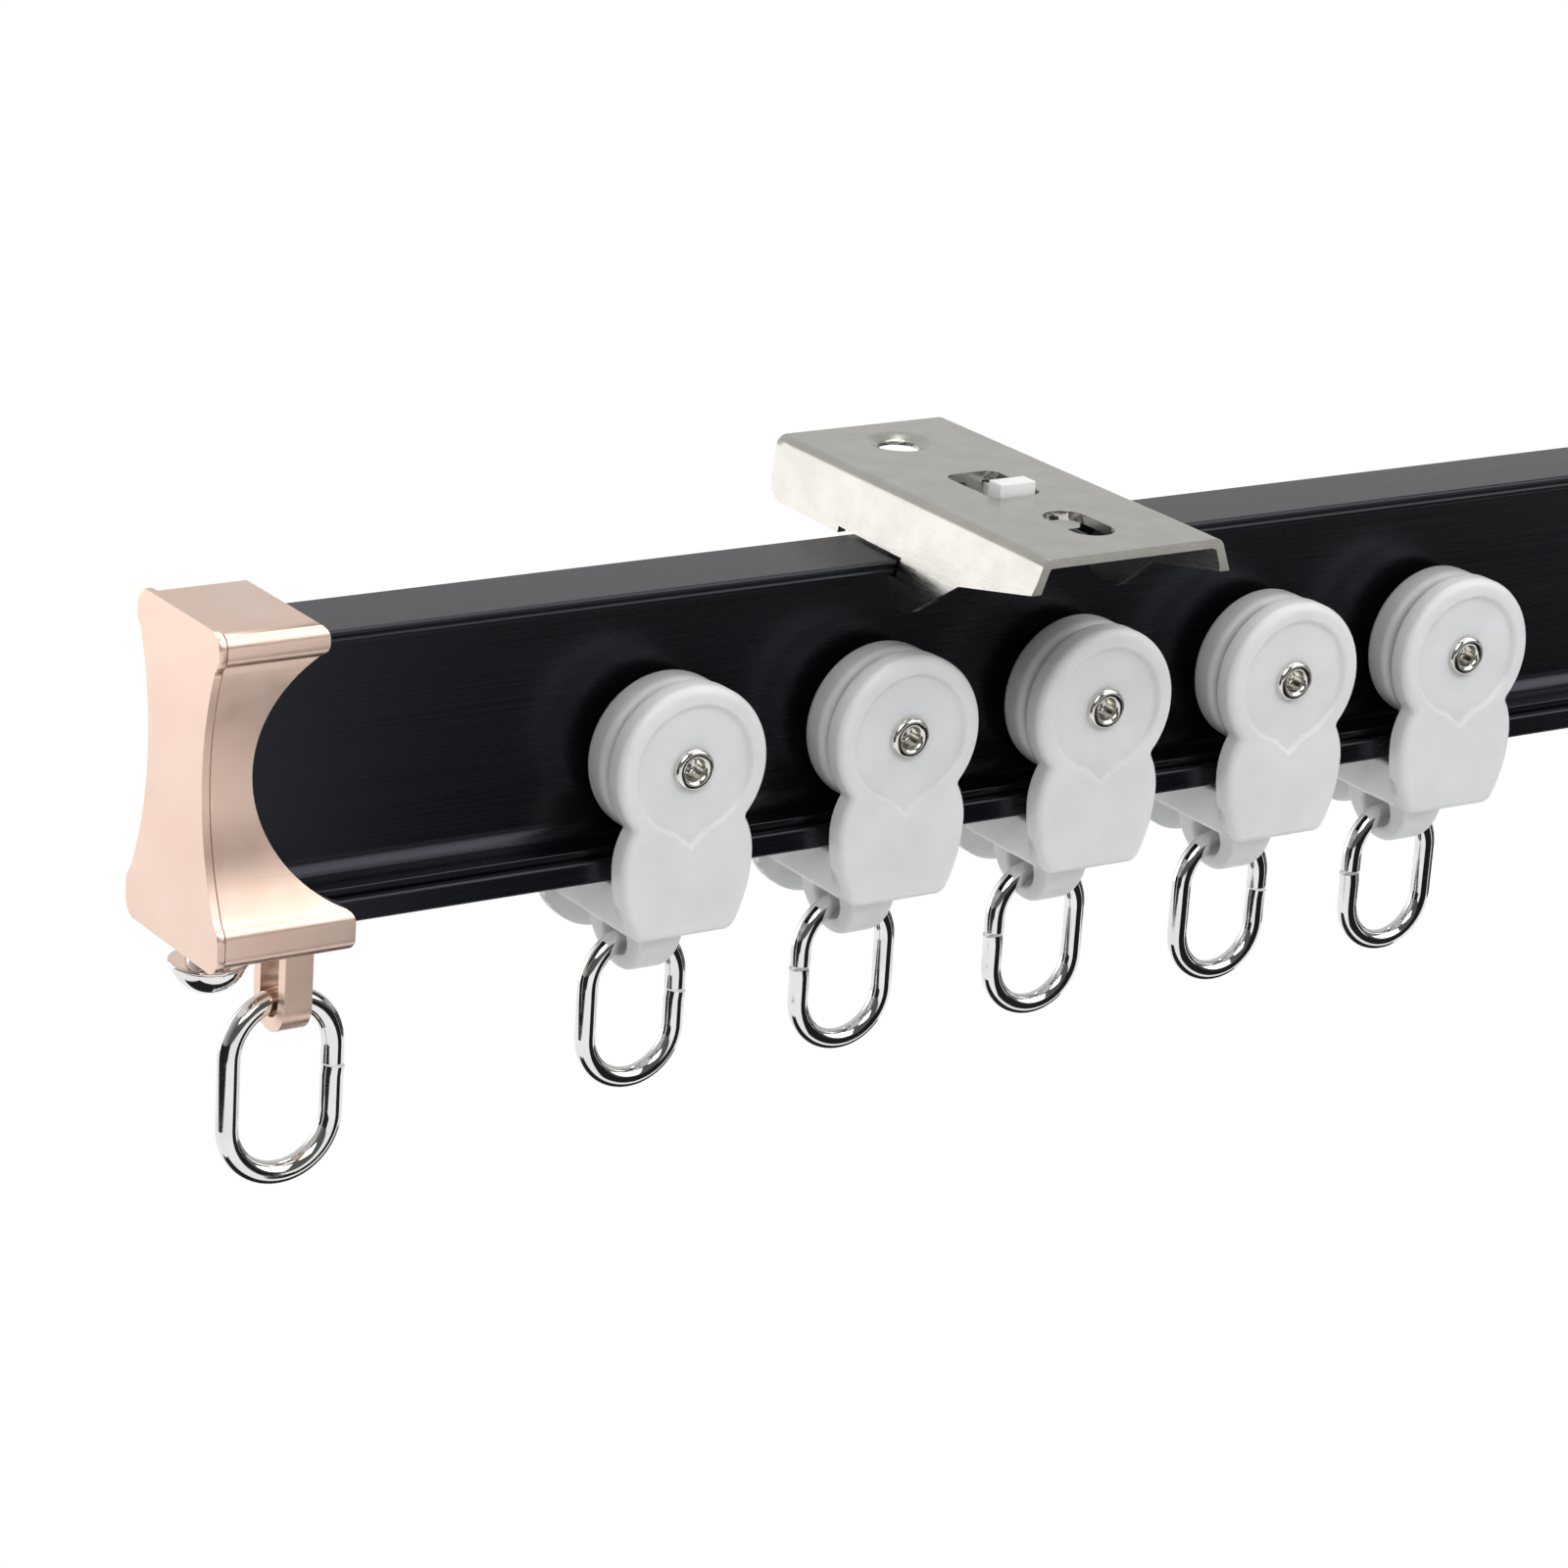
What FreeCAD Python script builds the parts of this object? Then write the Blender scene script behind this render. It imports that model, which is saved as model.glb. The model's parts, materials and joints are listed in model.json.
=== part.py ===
import FreeCAD, Part
import math
import os

# Curtain track: I-section rail, two end caps, a clip bracket and five two-wheel carriers.
# Frame in mm: origin on the bracket's ceiling face, X along the rail, Y to the rear, Z up.

# overall places
track_length = 212.0            # end face to end face of the two caps
bracket_from_left = 92.0        # left end face to the bracket's middle
bracket_drop = 6.4              # ceiling face to the rail's top
carrier_stations = (53.2, 79.4, 104.4, 129.6, 153.7)   # from the left end face
split_sides = (1, -1, -1, 1, -1)                       # side of each ring's split, 1 for the right

# rail section, heights from the rail's underside
rail_height = 30.0
rail_top_width = 10.0
rail_bottom_width = 12.0
flange_thickness = 1.5
web_thickness = 1.6
bead_height = 2.5               # rounded outer edge of the bottom flange
bead_width = 0.9
groove_depth = 0.5
groove_width = 0.35
tread_height = 3.3              # ledge the wheels run on
root_round = 2.1
neck_round = 1.0
edge_round = 0.35
line_depth = 0.25               # fine line along the top flange's edge
line_rise = 0.7                 # from the flange's underside up to the line

# end cap
cap_top_width = 16.8
cap_waist_width = 11.0
cap_bottom_width = 19.2
cap_roof = 2.0                  # above the rail
cap_floor = 1.6                 # below the rail
cap_end_wall = 1.6
cap_facet = 3.6                 # height of the rounded upper lip
cap_shoulder = 3.0              # height where the lower band of the side starts
cap_waist_height = 15.5
cap_top_reach = 12.0            # length along the rail at the top
cap_waist_reach = 5.6
cap_bottom_reach = 15.2
cap_round = 1.5
lip_turn = 60.0                 # degrees that a lip turns in towards the hollow side
cap_plate = 1.2                 # end plate that stands proud of the sides
cap_plate_proud = 0.35
cap_hollow = 6.4                # width of the hollow around the rail's web
cap_fit = 0.12                  # clearance around the rail
loop_reach = 12.55              # end face to the loop's middle
loop_thickness = 3.1
loop_width = 6.6
loop_drop = 11.0
loop_hole_width = 3.8
loop_seat = 1.5                 # material under the loop's hole

# cap screw
screw_reach = 4.2
screw_neck = 2.3                # collar between the cap and the head
screw_neck_width = 4.6
screw_head_width = 8.1
screw_head_height = 3.5
screw_rim = 0.5
screw_shank = 3.5
screw_bite = 2.6
screw_fit = 0.1
screw_slot = 1.1
screw_flat = 2.4                # flat at the crown of the head
dome_half = 3.25                # radius of the dome on its way, at dome_rise over the rim
dome_rise = 2.1

# rings of bent wire
cap_ring_size = (14.0, 21.2)
cap_ring_wire = 2.4
carrier_ring_size = (12.8, 18.2)
carrier_ring_wire = 2.2
ring_split = 0.35
ring_split_place = 0.3          # share of the straight leg above the split
ring_gap = 0.4                  # clearance under the wire in its eye

# carrier
wheel_radius = 8.6
wheel_gap = 0.3                 # clearance over the tread
wheel_inner = 2.5               # inner face from the rail's middle plane
wheel_width = 3.5
wheel_round = 0.9
wheel_rim = 1.7
wheel_dish = 0.8
hub_radius = 3.4
hub_inset = 0.65                # hub face behind the rim on the inner side
hub_proud = 1.15                # hub towards the arm, which keeps the rim clear of it
arm_inner = 7.4
arm_thickness = 2.5
arm_round = 0.8
head_radius = 8.8
recess_radius = 6.6
recess_depth = 0.5
recess_point = 8.2              # from the axle down to the recess's point
point_spread = 22.0             # degrees from the axle's plumb line to the point's shoulders
cheek_half = 7.8
cheek_drop = 10.0               # from the axle down to the cheek's widest place
cheek_upper_bulge = 8.0         # radius of the side above its widest place
cheek_lower_bulge = 16.0        # and below it
waist_drop = 5.8                # from the axle down to the waist
shoulder_inset = 2.8            # the cheek's upper edge runs in from the waist
shoulder_rise = 2.2
foot_round = 1.6
carrier_floor = 5.8             # below the rail
bridge_gap = 1.0                # between the rail and the bridge
bridge_half = 5.6
eye_top_half = 2.9
eye_bottom_half = 1.9
eye_depth = 10.6                # along Y
eye_drop = 6.4
eye_hole_radius = 2.3
eye_hole_drop = 2.5
rear_foot_radius = 7.0          # round lower end of the rear arm
rear_foot_drop = 3.3            # from the rail down to its centre

# rivet with a blind hole in its head, the wheel's axle
rivet_radius = 1.5
rivet_bore = 1.1
rivet_bore_depth = 2.2
rivet_head_radius = 2.3
rivet_head = 0.7
rivet_foot = 0.5
rivet_foot_radius = 2.0
rivet_fit = 0.05
rivet_play = 0.25               # between the rivet's foot and the hub

# clip bracket of folded sheet
sheet = 1.0
bracket_width = 21.9
bracket_rear = 21.1
bracket_front = -28.2
fold_round = 1.3
wall_leans = (6.0, 20.0)        # degrees that the side walls lean out at the rear and front ends
wall_rear_depth = 6.8
wall_corner = 2.2
wall_front_depth = 3.6
flange_play = 0.3               # around the rail's top flange
notch_rear = 7.0
beak_tip = (-9.6, -10.5)
beak_heel = (-16.2, -6.0)
beak_reach = 1.2                # under the rail's flange
beak_hollow = (1.0, 0.4)        # how far the hook's rear edge bows in, along Y and down
screw_hole = 4.4
screw_hole_place = 14.2
countersink = 7.4
countersink_depth = 0.6
slot_width = 4.8
slot_ends = (-13.9, -23.1)
window_width = 6.4
window_ends = (1.4, -8.1)
window_round = 0.9
flap_width = 4.0
flap_foot = 2.0
flap_thickness = 0.6            # of the flap's foot, thinned by the bend

# latch slider and its spring
latch_width = 15.0
latch_gap = 0.35                # to the sheet above and the flap's foot below
latch_thickness = 2.6
latch_front = -8.9
latch_rear = 9.0
latch_nose_width = 9.0
latch_release = 1.0             # nose to the rail's flange when slid back
latch_nose_height = 1.6
latch_travel = 2.2
tab_width = 4.4
tab_length = 2.2
tab_proud = 1.3
tab_gap = 0.35
spring_wire = 0.32
spring_radius = 0.95
spring_turns = 6.0
spring_play = 0.05              # at each end

# worked out from the sizes above
left_end = -bracket_from_left
right_end = left_end + track_length
middle = (left_end + right_end) / 2
rail_base = -bracket_drop - rail_height
axle_height = tread_height + wheel_gap + wheel_radius
arm_outer = arm_inner + arm_thickness
latch_nose_reach = latch_travel - latch_release


def vector(x, y, z):
    return FreeCAD.Vector(x, y, z)


def across(x):
    """Plane at x, with section points given as (y, height over the rail's underside)."""
    return lambda y, z: vector(x, y, rail_base + z)


def along(y):
    """Plane at y, with section points given as (x, height over the rail's underside)."""
    return lambda x, z: vector(x, y, rail_base + z)


def turn(cu, cv, radius, start, end):
    """Arc as a (point on the way, end point) pair; angles in degrees."""
    ends = []
    for degrees in ((start + end) / 2, end):
        angle = math.radians(degrees)
        ends.append((cu + radius * math.cos(angle), cv + radius * math.sin(angle)))
    return tuple(ends)


def section(start, steps, place):
    """Closed face from points and (point on the way, end point) arcs."""
    edges = []
    here = start
    for step in steps + [start]:
        if isinstance(step[0], tuple):
            edges.append(Part.Arc(place(*here), place(*step[0]), place(*step[1])).toShape())
            here = step[1]
        elif step != here:
            edges.append(Part.makeLine(place(*here), place(*step)))
            here = step
    return Part.Face(Part.Wire(edges))


def box(x0, x1, y0, y1, z0, z1):
    return Part.makeBox(x1 - x0, y1 - y0, z1 - z0, vector(x0, y0, z0))


def rod(radius, start, direction, length):
    return Part.makeCylinder(radius, length, start, direction)


def mirrored(shape, point, normal):
    return shape.mirror(point, normal)


def both_sides(half):
    """Half a symmetric solid and its mirror image about the rail's middle plane."""
    return half.fuse(mirrored(half, vector(0, 0, 0), vector(0, 1, 0))).removeSplitter()


def spun(profile, centre, way):
    """Turned solid from (radius, distance along the axis) points; the axis runs along way."""
    def place(radius, distance):
        return centre + vector(radius, 0, 0) + way * distance

    return section(profile[0], profile[1:], place).revolve(centre, way, 360)


def rail():
    start = left_end + cap_end_wall + cap_fit
    half_top = rail_top_width / 2
    half_bottom = rail_bottom_width / 2
    half_web = web_thickness / 2
    under = rail_height - flange_thickness
    groove_outer = half_bottom - bead_width
    line_height = under + line_rise
    steps = [
        (half_bottom - edge_round, 0),
        turn(half_bottom - edge_round, edge_round, edge_round, -90, 0),
        (half_bottom, bead_height - edge_round),
        turn(half_bottom - edge_round, bead_height - edge_round, edge_round, 0, 90),
        (groove_outer, bead_height),
        (groove_outer, bead_height - groove_depth),
        (groove_outer - groove_width, bead_height - groove_depth),
        (groove_outer - groove_width, tread_height),
        (half_web + root_round, tread_height),
        turn(half_web + root_round, tread_height + root_round, root_round, 270, 180),
        (half_web, under - neck_round),
        turn(half_web + neck_round, under - neck_round, neck_round, 180, 90),
        (half_top, under),
        (half_top, line_height - line_depth),
        (half_top - line_depth, line_height),
        (half_top, line_height + line_depth),
        (half_top, rail_height - edge_round),
        turn(half_top - edge_round, rail_height - edge_round, edge_round, 0, 90),
        (0, rail_height),
    ]
    half = section((0, 0), steps, across(start)).extrude(vector(2 * (middle - start), 0, 0))
    solid = both_sides(half)
    up = vector(0, 0, 1)
    for end, way in ((left_end, 1), (right_end, -1)):
        hole_foot = vector(end + way * screw_reach, 0, rail_base)
        solid = solid.cut(rod(screw_shank / 2 + screw_fit, hole_foot, up, screw_bite + screw_fit))
    return solid


def cap_side(proud, length):
    """Waisted prism over the cap's end face, with a rounded lip above and below its hollow side."""
    top = rail_height + cap_roof
    top_half = cap_top_width / 2 + proud
    bottom_half = cap_bottom_width / 2 + proud
    upper = (top_half - cap_round, top - cap_facet + cap_round)
    lower = (bottom_half - cap_round, cap_shoulder - cap_round)
    waist = (cap_waist_width / 2 + proud, cap_waist_height)
    steps = [
        (top_half - cap_round, top),
        turn(top_half - cap_round, top - cap_round, cap_round, 90, 0),
        (top_half, upper[1]),
        turn(*upper, cap_round, 0, -lip_turn),
        (waist, turn(*lower, cap_round, 0, lip_turn)[1]),
        turn(*lower, cap_round, lip_turn, 0),
        (bottom_half, cap_round - cap_floor),
        turn(bottom_half - cap_round, cap_round - cap_floor, cap_round, 0, -90),
        (0, -cap_floor),
    ]
    return both_sides(section((0, top), steps, across(left_end)).extrude(vector(length, 0, 0)))


def cap_reach():
    """Side view of the cap: long lips at the top and bottom with a round scoop between them."""
    top = rail_height + cap_roof
    upper = (cap_top_reach - cap_round, top - cap_facet + cap_round)
    lower = (cap_bottom_reach - cap_round, cap_shoulder - cap_round)
    waist = (cap_waist_reach, cap_waist_height)
    steps = [
        (cap_bottom_reach, -cap_floor),
        (cap_bottom_reach, lower[1]),
        turn(*lower, cap_round, 0, lip_turn),
        (waist, turn(*upper, cap_round, 0, -lip_turn)[1]),
        turn(*upper, cap_round, -lip_turn, 0),
        (cap_top_reach, top - cap_round),
        turn(cap_top_reach - cap_round, top - cap_round, cap_round, 0, 90),
        (0, top),
    ]
    steps = [tuple(shift_x(step)) for step in steps]
    face = section((left_end, -cap_floor), steps, along(-cap_bottom_width))
    return face.extrude(vector(0, 2 * cap_bottom_width, 0))


def shift_x(step):
    """Section step moved from the end face to its place in the frame."""
    if isinstance(step[0], tuple):
        return [tuple(shift_x(point)) for point in step]
    return [left_end + step[0], step[1]]


def cap_loop():
    """Eye plate under the cap."""
    x0 = left_end + loop_reach - loop_thickness / 2
    half = loop_width / 2
    hole_half = loop_hole_width / 2
    foot = -cap_floor - loop_drop
    hole_top = -cap_floor - hole_half
    hole_low = foot + loop_seat + hole_half
    plate = section(
        (-half, -cap_floor / 2),
        [(-half, foot + half), ((0, foot), (half, foot + half)), (half, -cap_floor / 2)],
        across(x0),
    )
    hole = section(
        (-hole_half, hole_top),
        [
            (-hole_half, hole_low),
            ((0, hole_low - hole_half), (hole_half, hole_low)),
            (hole_half, hole_top),
            ((0, hole_top + hole_half), (-hole_half, hole_top)),
        ],
        across(x0),
    )
    way = vector(loop_thickness, 0, 0)
    return plate.extrude(way), hole.extrude(way)


def end_cap():
    body = cap_side(0, cap_bottom_reach).common(cap_reach())
    body = body.fuse(cap_side(cap_plate_proud, cap_plate))
    inside = left_end + cap_end_wall
    far = left_end + 2 * cap_bottom_reach
    half_top = rail_top_width / 2 + cap_fit
    half_bottom = rail_bottom_width / 2 + cap_fit
    under = rail_height - flange_thickness - neck_round
    top_room = box(inside, far, -half_top, half_top, rail_base + under, rail_base + rail_height + cap_fit)
    root = tread_height + root_round
    bottom_room = box(inside, far, -half_bottom, half_bottom, rail_base - cap_fit, rail_base + root)
    web_room = box(inside, far, -cap_hollow / 2, cap_hollow / 2, rail_base + root, rail_base + under)
    plate, hole = cap_loop()
    hole_foot = vector(left_end + screw_reach, 0, rail_base - cap_floor)
    screw_room = rod(screw_shank / 2 + screw_fit, hole_foot, vector(0, 0, 1), cap_floor)
    body = body.fuse(plate).removeSplitter()
    for room in (top_room, bottom_room, web_room, hole, screw_room):
        body = body.cut(room)
    return body


def cap_screw():
    """Domed screw driven up through the cap's floor into the rail."""
    seat = vector(left_end + screw_reach, 0, rail_base - cap_floor)
    half = screw_head_width / 2
    rim = screw_neck + screw_rim
    crown = screw_neck + screw_head_height
    profile = [
        (0, -cap_floor - screw_bite),
        (screw_shank / 2, -cap_floor - screw_bite),
        (screw_shank / 2, 0),
        (screw_neck_width / 2, 0),
        (screw_neck_width / 2, screw_neck),
        (half, screw_neck),
        (half, rim),
        ((dome_half, rim + dome_rise), (screw_flat / 2, crown)),
        (0, crown),
    ]
    solid = spun(profile, seat, vector(0, 0, -1))
    low = seat.z - crown
    slot = box(seat.x - half, seat.x + half, -screw_slot / 2, screw_slot / 2, low, low + screw_slot)
    return solid.cut(slot)


def ring(size, wire, x, top_centre, split_side):
    """Oval split ring in the XZ plane, hung with its upper wire's centre at top_centre."""
    half = (size[0] - wire) / 2
    leg = size[1] - wire - 2 * half
    low = top_centre - half - leg
    high = top_centre - half
    split = high - leg * ring_split_place

    def point(u, z):
        return vector(x + split_side * u, 0, z)

    edges = [
        Part.makeLine(point(half, split - ring_split / 2), point(half, low)),
        Part.Arc(point(half, low), point(0, low - half), point(-half, low)).toShape(),
        Part.makeLine(point(-half, low), point(-half, high)),
        Part.Arc(point(-half, high), point(0, high + half), point(half, high)).toShape(),
        Part.makeLine(point(half, high), point(half, split + ring_split / 2)),
    ]
    start = point(half, split - ring_split / 2)
    outline = Part.Wire([Part.makeCircle(wire / 2, start, vector(0, 0, -1))])
    return Part.Wire(edges).makePipeShell([outline], True, False)


def cap_ring():
    seat = rail_base - cap_floor - loop_drop + loop_seat
    half = (cap_ring_size[0] - cap_ring_wire) / 2
    sag = half - math.sqrt(half ** 2 - (loop_thickness / 2) ** 2)
    top_centre = seat + cap_ring_wire / 2 + sag + ring_gap
    return ring(cap_ring_size, cap_ring_wire, left_end + loop_reach, top_centre, 1)


def front_edges(solid, highest):
    """Edges of an arm's front face that lie no higher than the given height."""
    edges = []
    for e in solid.Edges:
        flat = e.BoundBox.YMax < -arm_outer + 1e-6
        if flat and e.BoundBox.ZMax < rail_base + highest + 1e-3:
            edges.append(e)
    return edges


def cheek():
    """Flat cheek of an arm, from inside the head down past the rail, with bulging sides."""
    widest = axle_height - cheek_drop
    waist = axle_height - waist_drop
    foot = foot_round - carrier_floor
    upper = cheek_half - cheek_upper_bulge
    lower = cheek_half - cheek_lower_bulge
    rise = math.asin((waist - widest) / cheek_upper_bulge)
    fall = math.asin((widest - foot) / (cheek_lower_bulge - foot_round))
    waist_half = upper + cheek_upper_bulge * math.cos(rise)
    corner = lower + (cheek_lower_bulge - foot_round) * math.cos(fall)
    steps = [
        (waist_half - shoulder_inset, waist + shoulder_rise),
        (waist_half, waist),
        turn(upper, widest, cheek_upper_bulge, math.degrees(rise), 0),
        turn(lower, widest, cheek_lower_bulge, 0, -math.degrees(fall)),
        turn(corner, foot, foot_round, -math.degrees(fall), -90),
        (0, -carrier_floor),
    ]
    face = section((0, waist + shoulder_rise), steps, along(-arm_outer))
    half = face.extrude(vector(0, arm_thickness, 0))
    solid = half.fuse(mirrored(half, vector(0, 0, 0), vector(1, 0, 0))).removeSplitter()
    return solid.makeFillet(arm_round, front_edges(solid, waist))


def arm():
    """Front arm: round head over the wheel and a cheek that reaches down past the rail."""
    head = rod(head_radius, vector(0, -arm_outer, rail_base + axle_height), vector(0, 1, 0), arm_thickness)
    head = head.makeFillet(arm_round, front_edges(head, axle_height + head_radius))
    solid = head.fuse(cheek()).removeSplitter()
    recess = rod(recess_radius, vector(0, -arm_outer, rail_base + axle_height), vector(0, 1, 0), recess_depth)
    chord = recess_radius * math.sin(math.radians(point_spread))
    chord_height = axle_height - recess_radius * math.cos(math.radians(point_spread))
    point = section(
        (-chord, chord_height),
        [(0, axle_height - recess_point), (chord, chord_height)],
        along(-arm_outer),
    )
    solid = solid.cut(recess.fuse(point.extrude(vector(0, recess_depth, 0))))
    axle = vector(0, -arm_outer, rail_base + axle_height)
    return solid.cut(rod(rivet_radius + rivet_fit, axle, vector(0, 1, 0), arm_thickness))


def rear_arm():
    """Front arm's mirror image with a round lower end."""
    centre = vector(0, -arm_outer, rail_base - rear_foot_drop)
    foot = rod(rear_foot_radius, centre, vector(0, 1, 0), arm_thickness)
    foot = foot.makeFillet(arm_round, front_edges(foot, rear_foot_radius))
    return mirrored(arm().fuse(foot).removeSplitter(), vector(0, 0, 0), vector(0, 1, 0))


def eye():
    """Tapered eye under the bridge, with its hole along the rail."""
    foot = -carrier_floor - eye_drop
    half = eye_depth / 2
    taper = section(
        (-eye_top_half, -carrier_floor),
        [(-eye_bottom_half, foot), (eye_bottom_half, foot), (eye_top_half, -carrier_floor)],
        along(-half),
    ).extrude(vector(0, eye_depth, 0))
    shape = section(
        (-half, -carrier_floor),
        [(-half, foot + half), ((0, foot), (half, foot + half)), (half, -carrier_floor)],
        across(-eye_top_half),
    ).extrude(vector(2 * eye_top_half, 0, 0))
    hole_centre = vector(-eye_top_half, 0, rail_base - carrier_floor - eye_hole_drop)
    hole = rod(eye_hole_radius, hole_centre, vector(1, 0, 0), 2 * eye_top_half)
    return taper.common(shape).cut(hole)


def carrier_body():
    low = rail_base - carrier_floor
    bridge = box(-bridge_half, bridge_half, -arm_inner, arm_inner, low, rail_base - bridge_gap)
    return bridge.fuse([arm(), rear_arm(), eye()]).removeSplitter()


def wheel():
    """Front wheel with a rounded tread, a thinner web and a bored hub."""
    near = -wheel_inner
    far = near - wheel_width
    rim = wheel_radius - wheel_rim
    bore = rivet_radius + rivet_fit
    profile = [
        (bore, near - hub_inset),
        (hub_radius, near - hub_inset),
        (hub_radius + wheel_dish, near - hub_inset - wheel_dish / 2),
        (rim - wheel_dish, near - hub_inset - wheel_dish / 2),
        (rim, near),
        (wheel_radius - wheel_round, near),
        turn(wheel_radius - wheel_round, near - wheel_round, wheel_round, 90, 0),
        (wheel_radius, far + wheel_round),
        turn(wheel_radius - wheel_round, far + wheel_round, wheel_round, 0, -90),
        (rim, far),
        (rim - wheel_dish, far + wheel_dish),
        (hub_radius + wheel_dish, far + wheel_dish),
        (hub_radius, far - hub_proud),
        (bore, far - hub_proud),
    ]
    return spun(profile, vector(0, 0, rail_base + axle_height), vector(0, 1, 0))


def rivet():
    """Rivet: hollow head in the arm's recess, shank through arm and wheel, foot inside the hub."""
    seat = -(arm_outer - recess_depth)
    foot = -wheel_inner - hub_inset + rivet_play
    bore_end = seat - rivet_head + rivet_bore_depth
    profile = [
        (0, bore_end),
        (rivet_bore, bore_end),
        (rivet_bore, seat - rivet_head),
        (rivet_head_radius - rivet_head / 2, seat - rivet_head),
        turn(rivet_head_radius - rivet_head / 2, seat - rivet_head / 2, rivet_head / 2, -90, 0),
        (rivet_head_radius, seat),
        (rivet_radius, seat),
        (rivet_radius, foot),
        (rivet_foot_radius, foot),
        (rivet_foot_radius, foot + rivet_foot),
        (0, foot + rivet_foot),
    ]
    return spun(profile, vector(0, 0, rail_base + axle_height), vector(0, 1, 0))


def carrier_ring(split_side):
    seat = rail_base - carrier_floor - eye_hole_drop - eye_hole_radius
    half = (carrier_ring_size[0] - carrier_ring_wire) / 2
    under = eye_drop - eye_hole_drop - eye_hole_radius
    seat_half = eye_bottom_half + (eye_top_half - eye_bottom_half) * under / eye_drop
    sag = half - math.sqrt(half ** 2 - seat_half ** 2)
    top_centre = seat + carrier_ring_wire / 2 + sag + ring_gap
    return ring(carrier_ring_size, carrier_ring_wire, 0, top_centre, split_side)


def bracket_walls():
    """Side walls as one block: rounded rear, notch for the rail's flange, hooked beaks in front of it."""
    def at(x):
        return lambda y, z: vector(x, y, z)

    rail_front = -rail_top_width / 2
    notch_top = -bracket_drop + flange_play
    notch_front = rail_front - flange_play
    hook_top = -bracket_drop - flange_thickness - flange_play
    hook_rear = rail_front + beak_reach
    steps = [
        (bracket_rear, wall_corner - wall_rear_depth),
        turn(bracket_rear - wall_corner, wall_corner - wall_rear_depth, wall_corner, 0, -90),
        (notch_rear, -wall_rear_depth),
        (notch_rear, notch_top),
        (notch_front, notch_top),
        (notch_front, hook_top),
        (hook_rear, hook_top),
        ((hook_rear - beak_hollow[0], (hook_top + beak_tip[1]) / 2 - beak_hollow[1]), beak_tip),
        beak_heel,
        (bracket_front, -wall_front_depth),
        (bracket_front, 0),
    ]
    return section((bracket_rear, 0), steps, at(-bracket_width)).extrude(vector(2 * bracket_width, 0, 0))


def leaning_block(inset):
    """Block along the bracket with sides that lean out more and more to the front.

    It lies inset inside the sheet's outer faces, which meet the ceiling face at half the bracket's width.
    """
    low = 2 * beak_tip[1]
    wires = []
    for y, lean in zip((bracket_rear, bracket_front), wall_leans):
        slope = math.tan(math.radians(lean))
        half = bracket_width / 2 - inset / math.cos(math.radians(lean))
        corners = [(half + inset * slope, -inset), (half - low * slope, low)]
        corners += [(-x, z) for x, z in reversed(corners)]
        points = [vector(x, y, z) for x, z in corners]
        wires.append(Part.makePolygon(points + points[:1]))
    return Part.makeLoft(wires, True, True)


def round_slot(width, ends):
    """Upright block with round ends for cutting a slot through the plate."""
    half = width / 2
    rear, front = ends[0] - half, ends[1] + half
    steps = [((0, ends[0]), (-half, rear)), (-half, front), ((0, ends[1]), (half, front))]
    face = section((half, rear), steps, lambda x, y: vector(x, y, -sheet))
    return face.extrude(vector(0, 0, sheet))


def window_block(width, ends, round_radius):
    """Upright block with rounded corners for cutting a window through the plate."""
    half = width / 2
    block = box(-half, half, min(ends), max(ends), -sheet, 0)
    corners = [e for e in block.Edges if abs(e.Vertexes[0].Z - e.Vertexes[1].Z) > sheet / 2]
    return block.makeFillet(round_radius, corners)


def bracket_channel():
    half = bracket_width / 2
    block = bracket_walls().common(leaning_block(0))
    folds = []
    for e in block.Edges:
        if all(abs(v.Z) < 1e-6 and abs(abs(v.X) - half) < 1e-6 for v in e.Vertexes):
            folds.append(e)
    block = block.makeFillet(fold_round, folds)
    block = block.cut(leaning_block(sheet))
    hole_top = vector(0, screw_hole_place, 0)
    down = vector(0, 0, -1)
    block = block.cut(rod(screw_hole / 2, hole_top, down, sheet))
    block = block.cut(Part.makeCone(countersink / 2, screw_hole / 2, countersink_depth, hole_top, down))
    block = block.cut(round_slot(slot_width, slot_ends))
    block = block.cut(window_block(window_width, window_ends, window_round))
    return block.fuse(lanced_flap()).removeSplitter()


def flap_depth():
    """Height of the top of the flap's foot, just under the latch."""
    return -sheet - latch_thickness - 2 * latch_gap


def lanced_flap():
    """Tongue bent down from the window's rear edge, with a foot that carries the latch."""
    half = flap_width / 2
    rear = window_ends[0] + sheet
    depth = flap_depth()
    leg = box(-half, half, window_ends[0], rear, depth - flap_thickness, -sheet / 2)
    foot = box(-half, half, window_ends[0], rear + flap_foot, depth - flap_thickness, depth)
    return leg.fuse(foot)


def latch_slider():
    """Moulded slider: plate over the rail, finger tab through the window, nose under the rear flange."""
    half = latch_width / 2
    top = -sheet - latch_gap
    low = top - latch_thickness
    plate = box(-half, half, latch_front, latch_rear, low, top)
    flap_rear = window_ends[0] + sheet
    tab_front = window_ends[1] + tab_gap
    tab_rear = tab_front + tab_length
    room_half = flap_width / 2 + tab_gap
    room = box(-room_half, room_half, tab_rear, flap_rear + tab_gap, low, top)
    tab = box(-tab_width / 2, tab_width / 2, tab_front, tab_rear, low, tab_proud)
    nose_half = latch_nose_width / 2
    edge = rail_top_width / 2
    hook_top = -bracket_drop - flange_thickness - flange_play
    behind = edge + flange_play
    nose = section(
        (behind, low),
        [
            (behind, hook_top),
            (edge - latch_nose_reach, hook_top),
            (behind + latch_nose_reach, hook_top - latch_nose_height),
            (latch_rear, hook_top - latch_nose_height),
            (latch_rear, low),
        ],
        lambda y, z: vector(-nose_half, y, z),
    ).extrude(vector(latch_nose_width, 0, 0))
    return plate.cut(room).fuse([tab, nose]).removeSplitter()


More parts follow.
